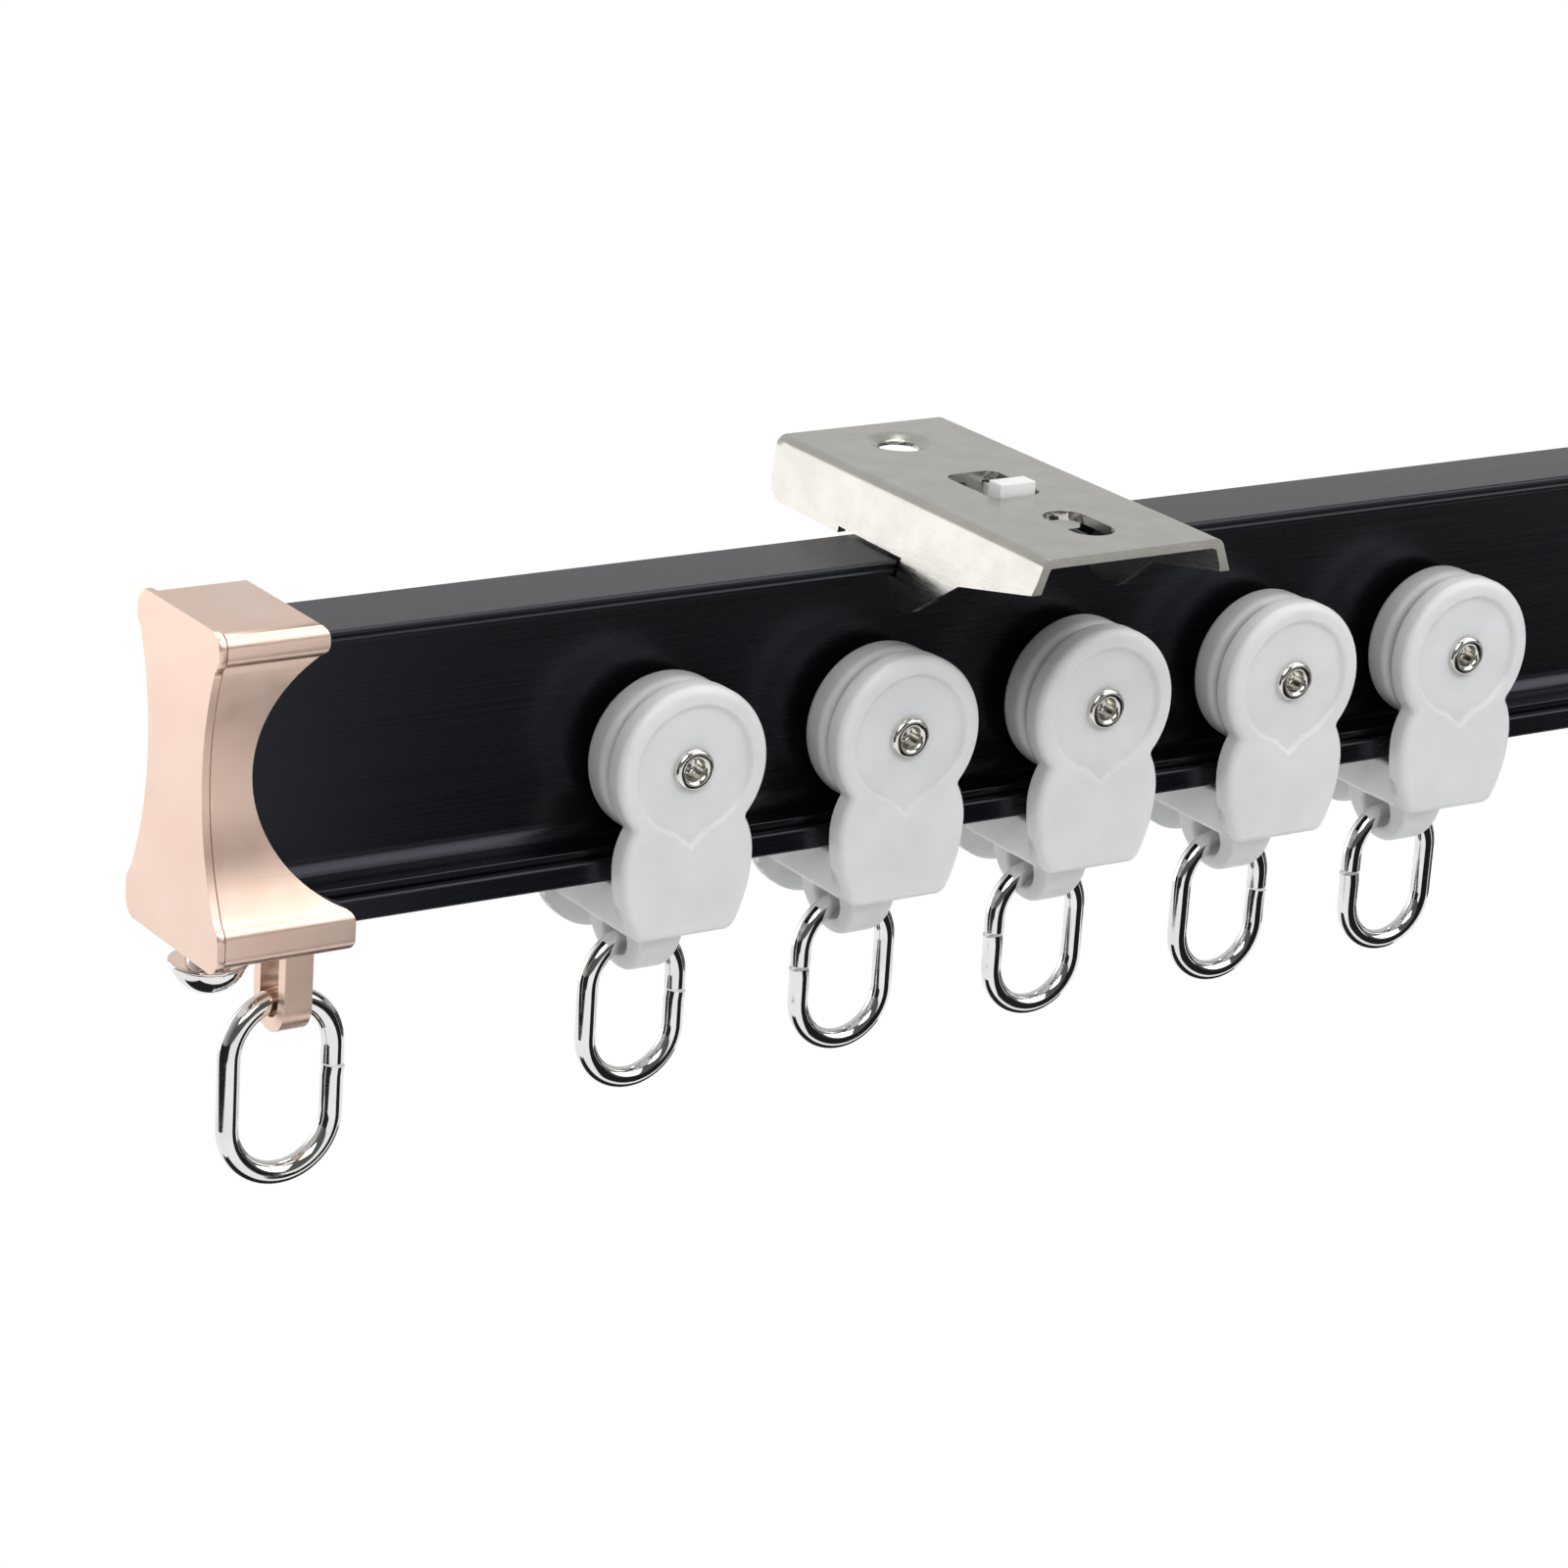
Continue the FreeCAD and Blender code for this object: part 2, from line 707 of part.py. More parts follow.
def latch_spring():
    """Coil spring between the flap and the tab's rear face."""
    start = window_ends[1] + tab_gap + tab_length + spring_wire / 2 + spring_play
    end = window_ends[0] - spring_wire / 2 - spring_play
    height = -sheet - latch_gap - latch_thickness / 2
    length = end - start
    helix = Part.makeHelix(length / spring_turns, length, spring_radius)
    outline = Part.Wire([Part.makeCircle(spring_wire / 2, vector(spring_radius, 0, 0), vector(0, 1, 0))])
    coil = Part.Wire(helix.Edges).makePipeShell([outline], True, True)
    coil.rotate(vector(0, 0, 0), vector(1, 0, 0), -90)
    coil.translate(vector(0, start, height))
    return coil


def save(name, shape):
    shape.exportStep("parts/" + name + ".step")


def main():
    os.makedirs("parts", exist_ok=True)
    save("rail", rail())
    for name, shape in (("end_cap", end_cap()), ("cap_screw", cap_screw()), ("cap_ring", cap_ring())):
        save(name + "_left", shape)
        save(name + "_right", mirrored(shape, vector(middle, 0, 0), vector(1, 0, 0)))
    save("bracket_channel", bracket_channel())
    save("latch_slider", latch_slider())
    save("latch_spring", latch_spring())
    front_pieces = (("wheel", wheel()), ("rivet", rivet()))
    body = carrier_body()
    rings = {side: carrier_ring(side) for side in (1, -1)}
    for number, (station, side) in enumerate(zip(carrier_stations, split_sides), 1):
        prefix = "carrier_" + str(number) + "_"
        place = vector(left_end + station, 0, 0)
        save(prefix + "body", body.translated(place))
        save(prefix + "ring", rings[side].translated(place))
        for name, shape in front_pieces:
            rear = mirrored(shape, vector(0, 0, 0), vector(0, 1, 0))
            save(prefix + name + "_front", shape.translated(place))
            save(prefix + name + "_rear", rear.translated(place))


main()
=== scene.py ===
import json
import math

import bmesh
import bpy
from mathutils import Matrix, Vector

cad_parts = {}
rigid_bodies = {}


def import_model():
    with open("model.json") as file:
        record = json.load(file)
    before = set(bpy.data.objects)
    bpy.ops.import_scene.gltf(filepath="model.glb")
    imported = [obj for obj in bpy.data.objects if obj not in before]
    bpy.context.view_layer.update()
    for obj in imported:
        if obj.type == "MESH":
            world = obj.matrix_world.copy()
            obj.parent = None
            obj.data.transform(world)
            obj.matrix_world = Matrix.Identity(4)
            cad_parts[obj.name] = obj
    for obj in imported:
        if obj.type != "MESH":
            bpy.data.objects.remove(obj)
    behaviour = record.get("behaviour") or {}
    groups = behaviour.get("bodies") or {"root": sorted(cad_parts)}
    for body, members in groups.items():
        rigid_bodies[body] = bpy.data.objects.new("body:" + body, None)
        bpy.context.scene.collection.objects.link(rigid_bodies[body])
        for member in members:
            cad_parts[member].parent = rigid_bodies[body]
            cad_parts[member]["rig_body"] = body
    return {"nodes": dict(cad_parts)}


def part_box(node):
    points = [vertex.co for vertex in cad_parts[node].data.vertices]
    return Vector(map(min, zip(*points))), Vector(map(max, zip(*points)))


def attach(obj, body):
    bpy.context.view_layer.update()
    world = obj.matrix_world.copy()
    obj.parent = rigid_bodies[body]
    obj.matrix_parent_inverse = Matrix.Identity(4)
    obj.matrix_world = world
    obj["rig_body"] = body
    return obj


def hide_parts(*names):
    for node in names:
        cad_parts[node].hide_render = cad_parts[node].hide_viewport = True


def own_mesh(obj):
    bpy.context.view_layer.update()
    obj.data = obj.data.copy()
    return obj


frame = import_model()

# Looks of the curtain track. Sizes are in mm, turned to metres by MM where a mesh is made.
# Heights are over the rail's underside, except on the bracket, where they are from its ceiling face.
MM = 0.001
SAME = 1e-4                     # outline points nearer than this are one
WELD = 0.002                    # mesh points nearer than this are one
LEAST_LEAN = 0.4                # keeps the sharp corners of an inset outline from running out
FACE_WEIGHT = 100               # strongest pull of large faces on the normals of their corners


def span(node):
    """Low and high corner of a CAD node, in mm."""
    return tuple(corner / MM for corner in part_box(node))


# places from the frame
RAIL_LOW, RAIL_HIGH = span("rail")
RAIL_BASE = RAIL_LOW.z
RAIL_TOP = RAIL_HIGH.z - RAIL_LOW.z
LEFT_END = span("end_cap_left")[0].x
RIGHT_END = span("end_cap_right")[1].x
CARRIERS = (1, 2, 3, 4, 5)

# straight steps along each kind of round
CREST_STEPS = 3
EDGE_STEPS = 5
RIM_STEPS = 6
ROUND_STEPS = 8
FOLD_STEPS = 10
BOW_STEPS = 10
ROOT_STEPS = 12
ROLL_STEPS = 14
DOME_STEPS = 18
SLOT_STEPS = 20
FOOT_STEPS = 24
HOLLOW_STEPS = 28
BORE_STEPS = 32
SCOOP_STEPS = 36
HEAD_STEPS = 36
OVAL_STEPS = 40
RECESS_STEPS = 40
COIL_STEPS = 40                 # in one turn of the spring
RIVET_STEPS = 48
TURNED_STEPS = 72
WIRE_SIDES = 32
SPRING_SIDES = 12

# rail section
TOP_HALF = 5.0
BOTTOM_HALF = RAIL_HIGH.y
FLANGE = 1.5
WEB_HALF = 0.8
BEAD_HEIGHT = 2.5
BEAD_WIDTH = 0.9
GROOVE_DEPTH = 0.5
GROOVE_WIDTH = 0.35
TREAD = 3.3
ROOT_ROUND = 2.1
NECK_ROUND = 1.0
EDGE_ROUND = 0.35
CREST_ROUND = 0.15              # on the groove's crests and under the top flange
LINE_DEPTH = 0.25               # of the line along the top flange's edge
LINE_RISE = 0.7

# end cap
CAP_TOP_HALF = 8.4
CAP_WAIST_HALF = 5.5
CAP_BOTTOM_HALF = 9.6
CAP_ROOF = 2.0
CAP_FLOOR = 1.6
CAP_WALL = 1.6
CAP_FACET = 3.6                 # height of the upper lip
CAP_SHOULDER = 3.0              # top of the lower lip
CAP_WAIST = 15.5
CAP_TOP_REACH = 12.0
CAP_WAIST_REACH = 5.6
CAP_BOTTOM_REACH = 15.2
CAP_ROUND = 1.5
LIP_ROUND = 1.0                 # at the lower lip's end
LIP_TURN = 60                   # degrees of a lip's round before the hollow starts
PLATE = 0.8
PLATE_PROUD = 0.35
PLATE_GROOVE = (0.3, 0.6)       # width and depth of the groove behind the end plate
CAP_HOLLOW = 3.2
CAP_FIT = 0.12
LOOP_REACH = 12.55
LOOP_THICKNESS = 3.1
LOOP_HALF = 3.3
LOOP_DROP = 11.0
LOOP_HOLE_HALF = 1.9
LOOP_SEAT = 1.5
CAST_EDGE = 0.45
PLATE_EDGE = 0.3
LOOP_EDGE = 0.4
CAST_TURN = 40                  # edges that turn by fewer degrees are left as they are

# cap screw
SCREW_SHANK = 1.75
SCREW_BITE = 4.2                # shank above the collar
SCREW_COLLAR = (2.3, 2.3)       # radius and height
SCREW_HEAD = (4.05, 3.5)
SCREW_RIM = 0.5
SCREW_SLOT = 1.1
SCREW_EDGE = 0.1

# rings
CAP_WIRE = 2.4
CARRIER_WIRE = 2.2
RING_SPLIT = 0.35
RING_SPLIT_PLACE = 0.3          # share of the straight leg above the split
RING_SPRUNG = 0.12              # how far the lower end of the split stands out
WIRE_TURN = 50                  # degrees, so that only the wire's ends are sharp

# side of each ring that its split is on, 1 for the right
SPLIT_SIDES = {
    "carrier_1_ring": 1, "carrier_2_ring": -1, "carrier_3_ring": -1, "carrier_4_ring": 1,
    "carrier_5_ring": -1, "cap_ring_left": 1, "cap_ring_right": -1,
}

# carrier
WHEEL_RADIUS = 8.6
WHEEL_GAP = 0.3
AXLE = TREAD + WHEEL_GAP + WHEEL_RADIUS
WHEEL_INNER = 2.5
WHEEL_WIDTH = 3.5
WHEEL_ROUND = 0.9
WHEEL_RIM = 1.7
WHEEL_DISH = 0.8
HUB_RADIUS = 3.4
HUB_INSET = 0.65
HUB_PROUD = 1.15
ARM_INNER = 7.4
ARM_OUTER = 9.9
ARM_ROUND = 1.0
HEAD_RADIUS = 8.8
RECESS_RADIUS = 6.8
RECESS_DEPTH = 0.5
RECESS_POINT = 8.2              # below the axle
POINT_SPREAD = 16               # degrees to either side of the point
RECESS_ROUND = 0.3
CHEEK_HALF = 7.8
CHEEK_DROP = 10.0               # below the axle
UPPER_BULGE = 8.0
LOWER_BULGE = 16.0
WAIST_ROUND = 0.5
FOOT_ROUND = 1.6
CARRIER_FLOOR = 5.8             # below the rail
BRIDGE_GAP = 1.0
BRIDGE_HALF = 5.6
BRIDGE_EDGE = 0.5
EYE_EDGE = 0.45
EYE_TOP_HALF = 2.9
EYE_BOTTOM_HALF = 1.9
EYE_HALF = 5.3
EYE_DROP = 6.4                  # below the carrier's floor, and so is its hole
EYE_HOLE = 2.3
EYE_HOLE_DROP = 2.5
REAR_FOOT = 7.0
REAR_FOOT_DROP = 3.3            # below the rail

# wall of the recess, as shares of its round outwards and of its depth
RECESS_WALL = ((1.0, 0.0), (0.7, 0.02), (0.2, 0.2), (-0.2, 0.8), (-0.7, 0.98), (-1.0, 1.0))

# rivet
RIVET_RADIUS = 1.5
RIVET_BORE = 1.1
RIVET_BORE_DEPTH = 2.2
RIVET_HEAD = (2.3, 0.7)         # radius and height
RIVET_FOOT = (2.0, 0.5)         # radius and height
RIVET_PLAY = 0.25
RIVET_FIT = 0.05

# bracket
SHEET = 1.0
BRACKET_HALF = 10.95
BRACKET_REAR = span("bracket_channel")[1].y
BRACKET_FRONT = span("bracket_channel")[0].y
FOLD_ROUND = 1.3
FOLD_INNER = 0.4
RULINGS = 20                    # steps from the rear to the front of the folded sheet
RULINGS_PAST = 2                # more of them past each end
WALL_LEANS = (6.0, 20.0)        # degrees at the rear and front ends
WALL_REAR_DEPTH = 6.8
WALL_CORNER = 2.2
WALL_FRONT_DEPTH = 3.6
FLANGE_PLAY = 0.3
NOTCH_REAR = 7.0
BEAK_TIP = (-9.6, -10.5)        # y and z
BEAK_HEEL = (-16.2, -6.0)
BEAK_REACH = 1.2                # under the rail's top flange
BEAK_HOLLOW = (1.0, 0.4)        # how far the hook's inner side bows forwards and down
DISH_PLACE = 14.2

# radius and height of the dished screw hole, from above the plate to below it
DISH = ((4.2, 1.0), (3.9, 0.0), (3.5, -0.12), (2.6, -0.45), (2.25, -0.6), (2.2, -1.5))

SLOT_HALF = 2.4
SLOT_ENDS = (-13.9, -23.1)
WINDOW_HALF = 3.2
WINDOW_ENDS = (1.4, -8.1)
WINDOW_ROUND = 1.5
FLAP_HALF = 2.0
FLAP_FOOT = 2.0
FLAP_THICKNESS = 0.6
FLAP_EDGE = 0.1
SHEET_EDGE = 0.14
SHEET_TURN = 35                 # edges that turn by fewer degrees are left as they are

# latch
LATCH_THICKNESS = 2.6
LATCH_GAP = 0.35
LATCH_EDGE = 0.25
FLAT_TURN = 0.5                 # faces that turn by fewer degrees are one

# spring
SPRING_WIRE = 0.32
SPRING_RADIUS = 0.95
SPRING_TURNS = 6

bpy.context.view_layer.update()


# materials; the ranges are the part of a noise that a colour or a roughness follows

TINT_RANGE = (0.35, 0.65)
GLOSS_RANGE = (0.3, 0.7)
NYLON_DEPTHS = (2.2, 2.1, 2.0)  # how far red, green and blue light goes into nylon, in mm


def linear(code):
    """Linear RGBA from an sRGB hex code."""
    values = []
    for place in (0, 2, 4):
        part = int(code[place:place + 2], 16) / 255
        values.append(part / 12.92 if part <= 0.04045 else ((part + 0.055) / 1.055) ** 2.4)
    return (*values, 1.0)


def put(tree, kind, settings=(), values=(), links=()):
    """Adds a node with its settings, constant inputs and links."""
    node = tree.nodes.new(kind)
    for name, value in settings:
        setattr(node, name, value)
    for name, value in values:
        node.inputs[name].default_value = value
    for name, source in links:
        tree.links.new(source, node.inputs[name])
    return node


def finish_of(name, **values):
    """Material with a Principled shader, its node tree, the shader and its Object coordinates."""
    material = bpy.data.materials.new(name)
    material.use_nodes = True
    tree = material.node_tree
    shader = tree.nodes["Principled BSDF"]
    for socket, value in values.items():
        shader.inputs[socket.replace("_", " ")].default_value = value
    place = put(tree, "ShaderNodeTexCoord").outputs["Object"]
    return material, tree, shader, place


def grain(tree, place, size, stretch=(1, 1, 1)):
    """Noise whose cells are about size mm across, drawn out by stretch along X, Y and Z."""
    scale = tuple(1 / (size * MM * along) for along in stretch)
    mapped = put(tree, "ShaderNodeMapping", values=[("Scale", scale)], links=[("Vector", place)])
    noise = put(tree, "ShaderNodeTexNoise", values=[("Scale", 1.0), ("Detail", 2.0)],
                links=[("Vector", mapped.outputs["Vector"])])
    return noise.outputs["Fac"]


def tint(tree, shader, pattern, first, second):
    """Base colour that wanders between two sRGB colours."""
    ramp = put(tree, "ShaderNodeValToRGB", links=[("Fac", pattern)])
    for element, position, code in zip(ramp.color_ramp.elements, TINT_RANGE, (first, second)):
        element.position = position
        element.color = linear(code)
    tree.links.new(ramp.outputs["Color"], shader.inputs["Base Color"])


def gloss(tree, shader, pattern, low, high):
    """Roughness that wanders between two values."""
    ranged = put(tree, "ShaderNodeMapRange",
                 values=[("From Min", GLOSS_RANGE[0]), ("From Max", GLOSS_RANGE[1]),
                         ("To Min", low), ("To Max", high)],
                 links=[("Value", pattern)])
    tree.links.new(ranged.outputs["Result"], shader.inputs["Roughness"])


def relief(tree, shader, pattern, depth):
    """Bump of about depth mm."""
    bump = put(tree, "ShaderNodeBump", values=[("Strength", 1.0), ("Distance", depth * MM)],
               links=[("Height", pattern)])
    tree.links.new(bump.outputs["Normal"], shader.inputs["Normal"])


def anodised_rail():
    """Black dyed anodised extrusion: fine die lines along the rail soften its reflections."""
    made, tree, shader, place = finish_of(
        "black_anodised_extrusion", Metallic=0.0, IOR=1.5, Specular_Tint=linear("EBF0FF"))
    lines = grain(tree, place, size=0.12, stretch=(300, 1, 1))
    tint(tree, shader, grain(tree, place, size=6.0, stretch=(6, 1, 1)), "05060A", "08090D")
    gloss(tree, shader, lines, low=0.24, high=0.3)
    relief(tree, shader, lines, depth=0.0004)
    return made


def lacquered_cap():
    """Die-cast zinc under rose-gold lacquer: metal colour with a faint orange-peel skin."""
    made, tree, shader, place = finish_of(
        "rose_gold_lacquered_casting", Metallic=1.0, Coat_Weight=0.3, Coat_Roughness=0.2)
    peel = grain(tree, place, size=0.35)
    tint(tree, shader, grain(tree, place, size=9.0), "F4D4C2", "F7DBCB")
    gloss(tree, shader, grain(tree, place, size=3.0), low=0.3, high=0.37)
    relief(tree, shader, peel, depth=0.0022)
    return made


def plated_sheet():
    """Nickel-plated stamped sheet: rolling grain along the sheet and a warm grey metal."""
    made, tree, shader, place = finish_of("nickel_plated_stamped_sheet", Metallic=1.0)
    rolled = grain(tree, place, size=0.15, stretch=(1, 14, 1))
    tint(tree, shader, grain(tree, place, size=4.0), "BEBBB5", "C6C3BD")
    gloss(tree, shader, rolled, low=0.16, high=0.26)
    relief(tree, shader, rolled, depth=0.0008)
    return made


def chromed_wire():
    """Polished chrome plate: sharp reflections with slight clouding from handling."""
    made, tree, shader, place = finish_of("chrome_plated_wire", Metallic=1.0)
    tint(tree, shader, grain(tree, place, size=3.0), "E2E1DF", "EAE9E7")
    gloss(tree, shader, grain(tree, place, size=1.4), low=0.05, high=0.11)
    relief(tree, shader, grain(tree, place, size=1.1), depth=0.002)
    return made


def rivet_metal():
    """Rolled nickel-plated rivet: bright, with tooling marks that blur it a little."""
    made, tree, shader, place = finish_of("nickel_plated_rolled_rivet", Metallic=1.0)
    tint(tree, shader, grain(tree, place, size=1.2), "D6D3CD", "E4E2DD")
    gloss(tree, shader, grain(tree, place, size=0.5), low=0.12, high=0.22)
    relief(tree, shader, grain(tree, place, size=0.3), depth=0.0015)
    return made


def spring_metal():
    """Drawn spring steel: darker grey with draw lines."""
    made, tree, shader, place = finish_of("drawn_spring_steel", Metallic=1.0)
    tint(tree, shader, grain(tree, place, size=0.6), "8E8D8A", "A3A29F")
    gloss(tree, shader, grain(tree, place, size=0.2), low=0.2, high=0.32)
    return made


def moulded_nylon(name, first, second):
    """Injection-moulded natural nylon: light goes in and softens edges under a waxy skin."""
    made, tree, shader, place = finish_of(
        name, IOR=1.53, Subsurface_Weight=0.35, Subsurface_Scale=1.0,
        Subsurface_Radius=tuple(depth * MM for depth in NYLON_DEPTHS))
    tint(tree, shader, grain(tree, place, size=5.0), first, second)
    gloss(tree, shader, grain(tree, place, size=1.6), low=0.34, high=0.44)
    relief(tree, shader, grain(tree, place, size=0.5), depth=0.0018)
    return made


FINISH = {
    "black_anodised_aluminium": anodised_rail(),
    "rose_gold_lacquered_zinc": lacquered_cap(),
    "nickel_plated_sheet": plated_sheet(),
    "chrome_plated_steel": chromed_wire(),
    "nickel_plated_rivet": rivet_metal(),
    "spring_steel": spring_metal(),
    "white_nylon_moulding": moulded_nylon("moulded_white_nylon", "DEDFE0", "E4E5E6"),
    # painted shade: the wheels are the carriers' white nylon, given a darker grey for the shadow the arm
    # casts on them
    "white_nylon_wheel": moulded_nylon("nylon_wheel_painted_shade", "C6C8CA", "CDCFD1"),
    "white_nylon_latch": moulded_nylon("moulded_nylon_latch", "EEEEED", "F3F3F2"),
}


# mesh helpers

def arc(cu, cv, radius, start, end, count):
    """Points along an arc in count straight steps; angles in degrees."""
    points = []
    for step in range(count + 1):
        angle = math.radians(start + (end - start) * step / count)
        points.append((cu + radius * math.cos(angle), cv + radius * math.sin(angle)))
    return points


def tidy_open(points):
    """Open path without doubled points."""
    kept = [points[0]]
    for point in points[1:]:
        if math.dist(point, kept[-1]) > SAME:
            kept.append(point)
    return kept


def tidy(points):
    """Closed outline without doubled points."""
    kept = tidy_open(points)
    if math.dist(kept[0], kept[-1]) < SAME:
        kept.pop()
    return kept


def inset(outline, distance):
    """Outline moved inwards; its points run anticlockwise."""
    moved = []
    for i, (u, v) in enumerate(outline):
        pu, pv = outline[i - 1]
        nu, nv = outline[(i + 1) % len(outline)]
        before = Vector((u - pu, v - pv)).normalized()
        after = Vector((nu - u, nv - v)).normalized()
        normal = Vector((-before.y - after.y, before.x + after.x))
        normal.normalize()
        lean = max(LEAST_LEAN, normal.dot(Vector((-before.y, before.x))))
        moved.append((u + normal.x * distance / lean, v + normal.y * distance / lean))
    return moved


def loop(bm, points):
    """Ring of vertices at the given (x, y, z) places in mm."""
    return [bm.verts.new(Vector(point) * MM) for point in points]


def skin(bm, first, second):
    """Quads between two rings with the same number of vertices."""
    for i in range(len(first)):
        j = (i + 1) % len(first)
        bm.faces.new((first[i], first[j], second[j], second[i]))


def fill(bm, *rings):
    """Flat face inside one ring, or between a ring and the holes in it."""
    edges = []
    for ring in rings:
        for i in range(len(ring)):
            pair = (ring[i - 1], ring[i])
            edges.append(bm.edges.get(pair) or bm.edges.new(pair))
    bmesh.ops.triangle_fill(bm, edges=edges, use_beauty=True)


def mesh_of(name, bm, angle=30):
    """Mesh with outward normals, smooth except at edges sharper than angle."""
    bmesh.ops.recalc_face_normals(bm, faces=bm.faces)
    mesh = bpy.data.meshes.new(name)
    bm.to_mesh(mesh)
    bm.free()
    mesh.shade_smooth()
    mesh.set_sharp_from_angle(angle=math.radians(angle))
    return mesh


def stand_in(name, mesh):
    """Object for a mesh, linked to the scene."""
    piece = bpy.data.objects.new(name, mesh)
    bpy.context.scene.collection.objects.link(piece)
    return piece


def settle(piece):
    """Applies the piece's modifiers to its mesh."""
    graph = bpy.context.evaluated_depsgraph_get()
    made = bpy.data.meshes.new_from_object(piece.evaluated_get(graph))
    piece.modifiers.clear()
    piece.data = made
    return piece


def soften(piece, width, segments=3, angle=30):
    """Small round on the piece's sharp edges, with the flat faces kept flat."""
    round_edges = piece.modifiers.new("edges", "BEVEL")
    round_edges.width = width * MM
    round_edges.segments = segments
    round_edges.limit_method = "ANGLE"
    round_edges.angle_limit = math.radians(angle)
    round_edges.harden_normals = True
    piece.data.shade_smooth()
    return settle(piece)


def even(piece, angle=35):
    """Welded mesh whose normals follow its large faces, so that they stay flat beside rounded edges."""
    bm = bmesh.new()
    bm.from_mesh(piece.data)
    bmesh.ops.remove_doubles(bm, verts=bm.verts, dist=WELD * MM)
    bmesh.ops.dissolve_degenerate(bm, dist=WELD * MM, edges=bm.edges)
    bm.to_mesh(piece.data)
    bm.free()
    piece.data.shade_smooth()
    piece.data.set_sharp_from_angle(angle=math.radians(angle))
    weigh = piece.modifiers.new("normals", "WEIGHTED_NORMAL")
    weigh.keep_sharp = True
    weigh.weight = FACE_WEIGHT
    return settle(piece)


def cut(piece, mesh, operation="DIFFERENCE"):
    """Boolean with another mesh."""
    tool = stand_in("tool", mesh)
    step = piece.modifiers.new("cut", "BOOLEAN")
    step.object = tool
    step.operation = operation
    step.solver = "EXACT"
    settle(piece)
    bpy.data.objects.remove(tool)
    return piece


def prism(outline, place, way):
    """Closed mesh from an outline set at place(u, v) and drawn along way, both in mm."""
    bm = bmesh.new()
    near = loop(bm, [place(*point) for point in outline])
    far = loop(bm, [Vector(place(*point)) + Vector(way) for point in outline])
    skin(bm, near, far)
    fill(bm, near)
    fill(bm, far)
    return mesh_of("prism", bm)


def lathe(profile, place, count=TURNED_STEPS):
    """Turned mesh from a closed (radius, distance) profile, set at place(u, v, distance)."""
    bm = bmesh.new()
    rings = []
    for radius, distance in profile:
        if radius < SAME:
            rings.append([bm.verts.new(Vector(place(0, 0, distance)) * MM)])
            continue
        turn = arc(0, 0, radius, 0, 360, count)[:-1]
        rings.append(loop(bm, [place(u, v, distance) for u, v in turn]))
    for i, second in enumerate(rings):
        first = rings[i - 1]
        if len(first) == 1 and len(second) == 1:
            continue
        if len(first) == 1 or len(second) == 1:
            tip, ring = (first, second) if len(first) == 1 else (second, first)
            for k in range(count):
                bm.faces.new((tip[0], ring[k - 1], ring[k]))
            continue
        skin(bm, first, second)
    return mesh_of("turned", bm)


def hand_in(piece, node, slot):
    """Puts the piece in the place of a CAD node, on its body and in its finish."""
    piece.data.materials.clear()
    piece.data.materials.append(FINISH[slot])
    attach(piece, frame["nodes"][node]["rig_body"])
    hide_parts(node)
    return piece


# swept wire by geometry nodes

def wire_tree():
    """Sweeps a round wire along the piece's own path."""
    tree = bpy.data.node_groups.new("swept_wire", "GeometryNodeTree")
    tree.interface.new_socket("Path", in_out="INPUT", socket_type="NodeSocketGeometry")
    tree.interface.new_socket("Wire Radius", in_out="INPUT", socket_type="NodeSocketFloat")
    tree.interface.new_socket("Sides", in_out="INPUT", socket_type="NodeSocketInt")
    tree.interface.new_socket("Finish", in_out="INPUT", socket_type="NodeSocketMaterial")
    tree.interface.new_socket("Wire", in_out="OUTPUT", socket_type="NodeSocketGeometry")
    given = put(tree, "NodeGroupInput").outputs
    path = put(tree, "GeometryNodeMeshToCurve", links=[("Mesh", given["Path"])])
    outline = put(tree, "GeometryNodeCurvePrimitiveCircle",
                  links=[("Resolution", given["Sides"]), ("Radius", given["Wire Radius"])])
    swept = put(tree, "GeometryNodeCurveToMesh", values=[("Fill Caps", True)],
                links=[("Curve", path.outputs["Curve"]), ("Profile Curve", outline.outputs["Curve"])])
    real = put(tree, "GeometryNodeRealizeInstances", links=[("Geometry", swept.outputs["Mesh"])])
    done = put(tree, "GeometryNodeSetMaterial",
               links=[("Geometry", real.outputs["Geometry"]), ("Material", given["Finish"])])
    put(tree, "NodeGroupOutput", links=[("Wire", done.outputs["Geometry"])])
    return tree


WIRE = wire_tree()


def swept_wire(name, path, radius, slot, sides):
    """Wire along (x, y, z) points in mm, as one mesh."""
    bm = bmesh.new()
    verts = loop(bm, path)
    for first, second in zip(verts, verts[1:]):
        bm.edges.new((first, second))
    mesh = bpy.data.meshes.new(name)
    bm.to_mesh(mesh)
    bm.free()
    piece = stand_in(name, mesh)
    sweep = piece.modifiers.new("sweep", "NODES")
    sweep.node_group = WIRE
    values = {"Wire Radius": radius * MM, "Sides": sides, "Finish": FINISH[slot]}
    for item in WIRE.interface.items_tree:
        if item.in_out == "INPUT" and item.name in values:
            sweep[item.identifier] = values[item.name]
    settle(piece)
    piece.data.shade_smooth()
    piece.data.set_sharp_from_angle(angle=math.radians(WIRE_TURN))
    return piece


def oval_path(node, wire, split_side):
    """Path of a split ring that fills the CAD node's box, from one side of its split to the other."""
    low, high = span(node)
    x = (low.x + high.x) / 2
    half = (high.x - low.x - wire) / 2
    bottom = low.z + wire / 2 + half
    top = high.z - wire / 2 - half
    split = top - (top - bottom) * RING_SPLIT_PLACE
    gap = RING_SPLIT / 2
    points = [(half + RING_SPRUNG, split - gap), (half, split - wire / 2)]
    points += arc(0, bottom, half, 0, -180, OVAL_STEPS) + arc(0, top, half, 180, 0, OVAL_STEPS)
    points += [(half, split + gap)]
    return [(x + split_side * u, 0, v) for u, v in tidy_open(points)]


# pieces

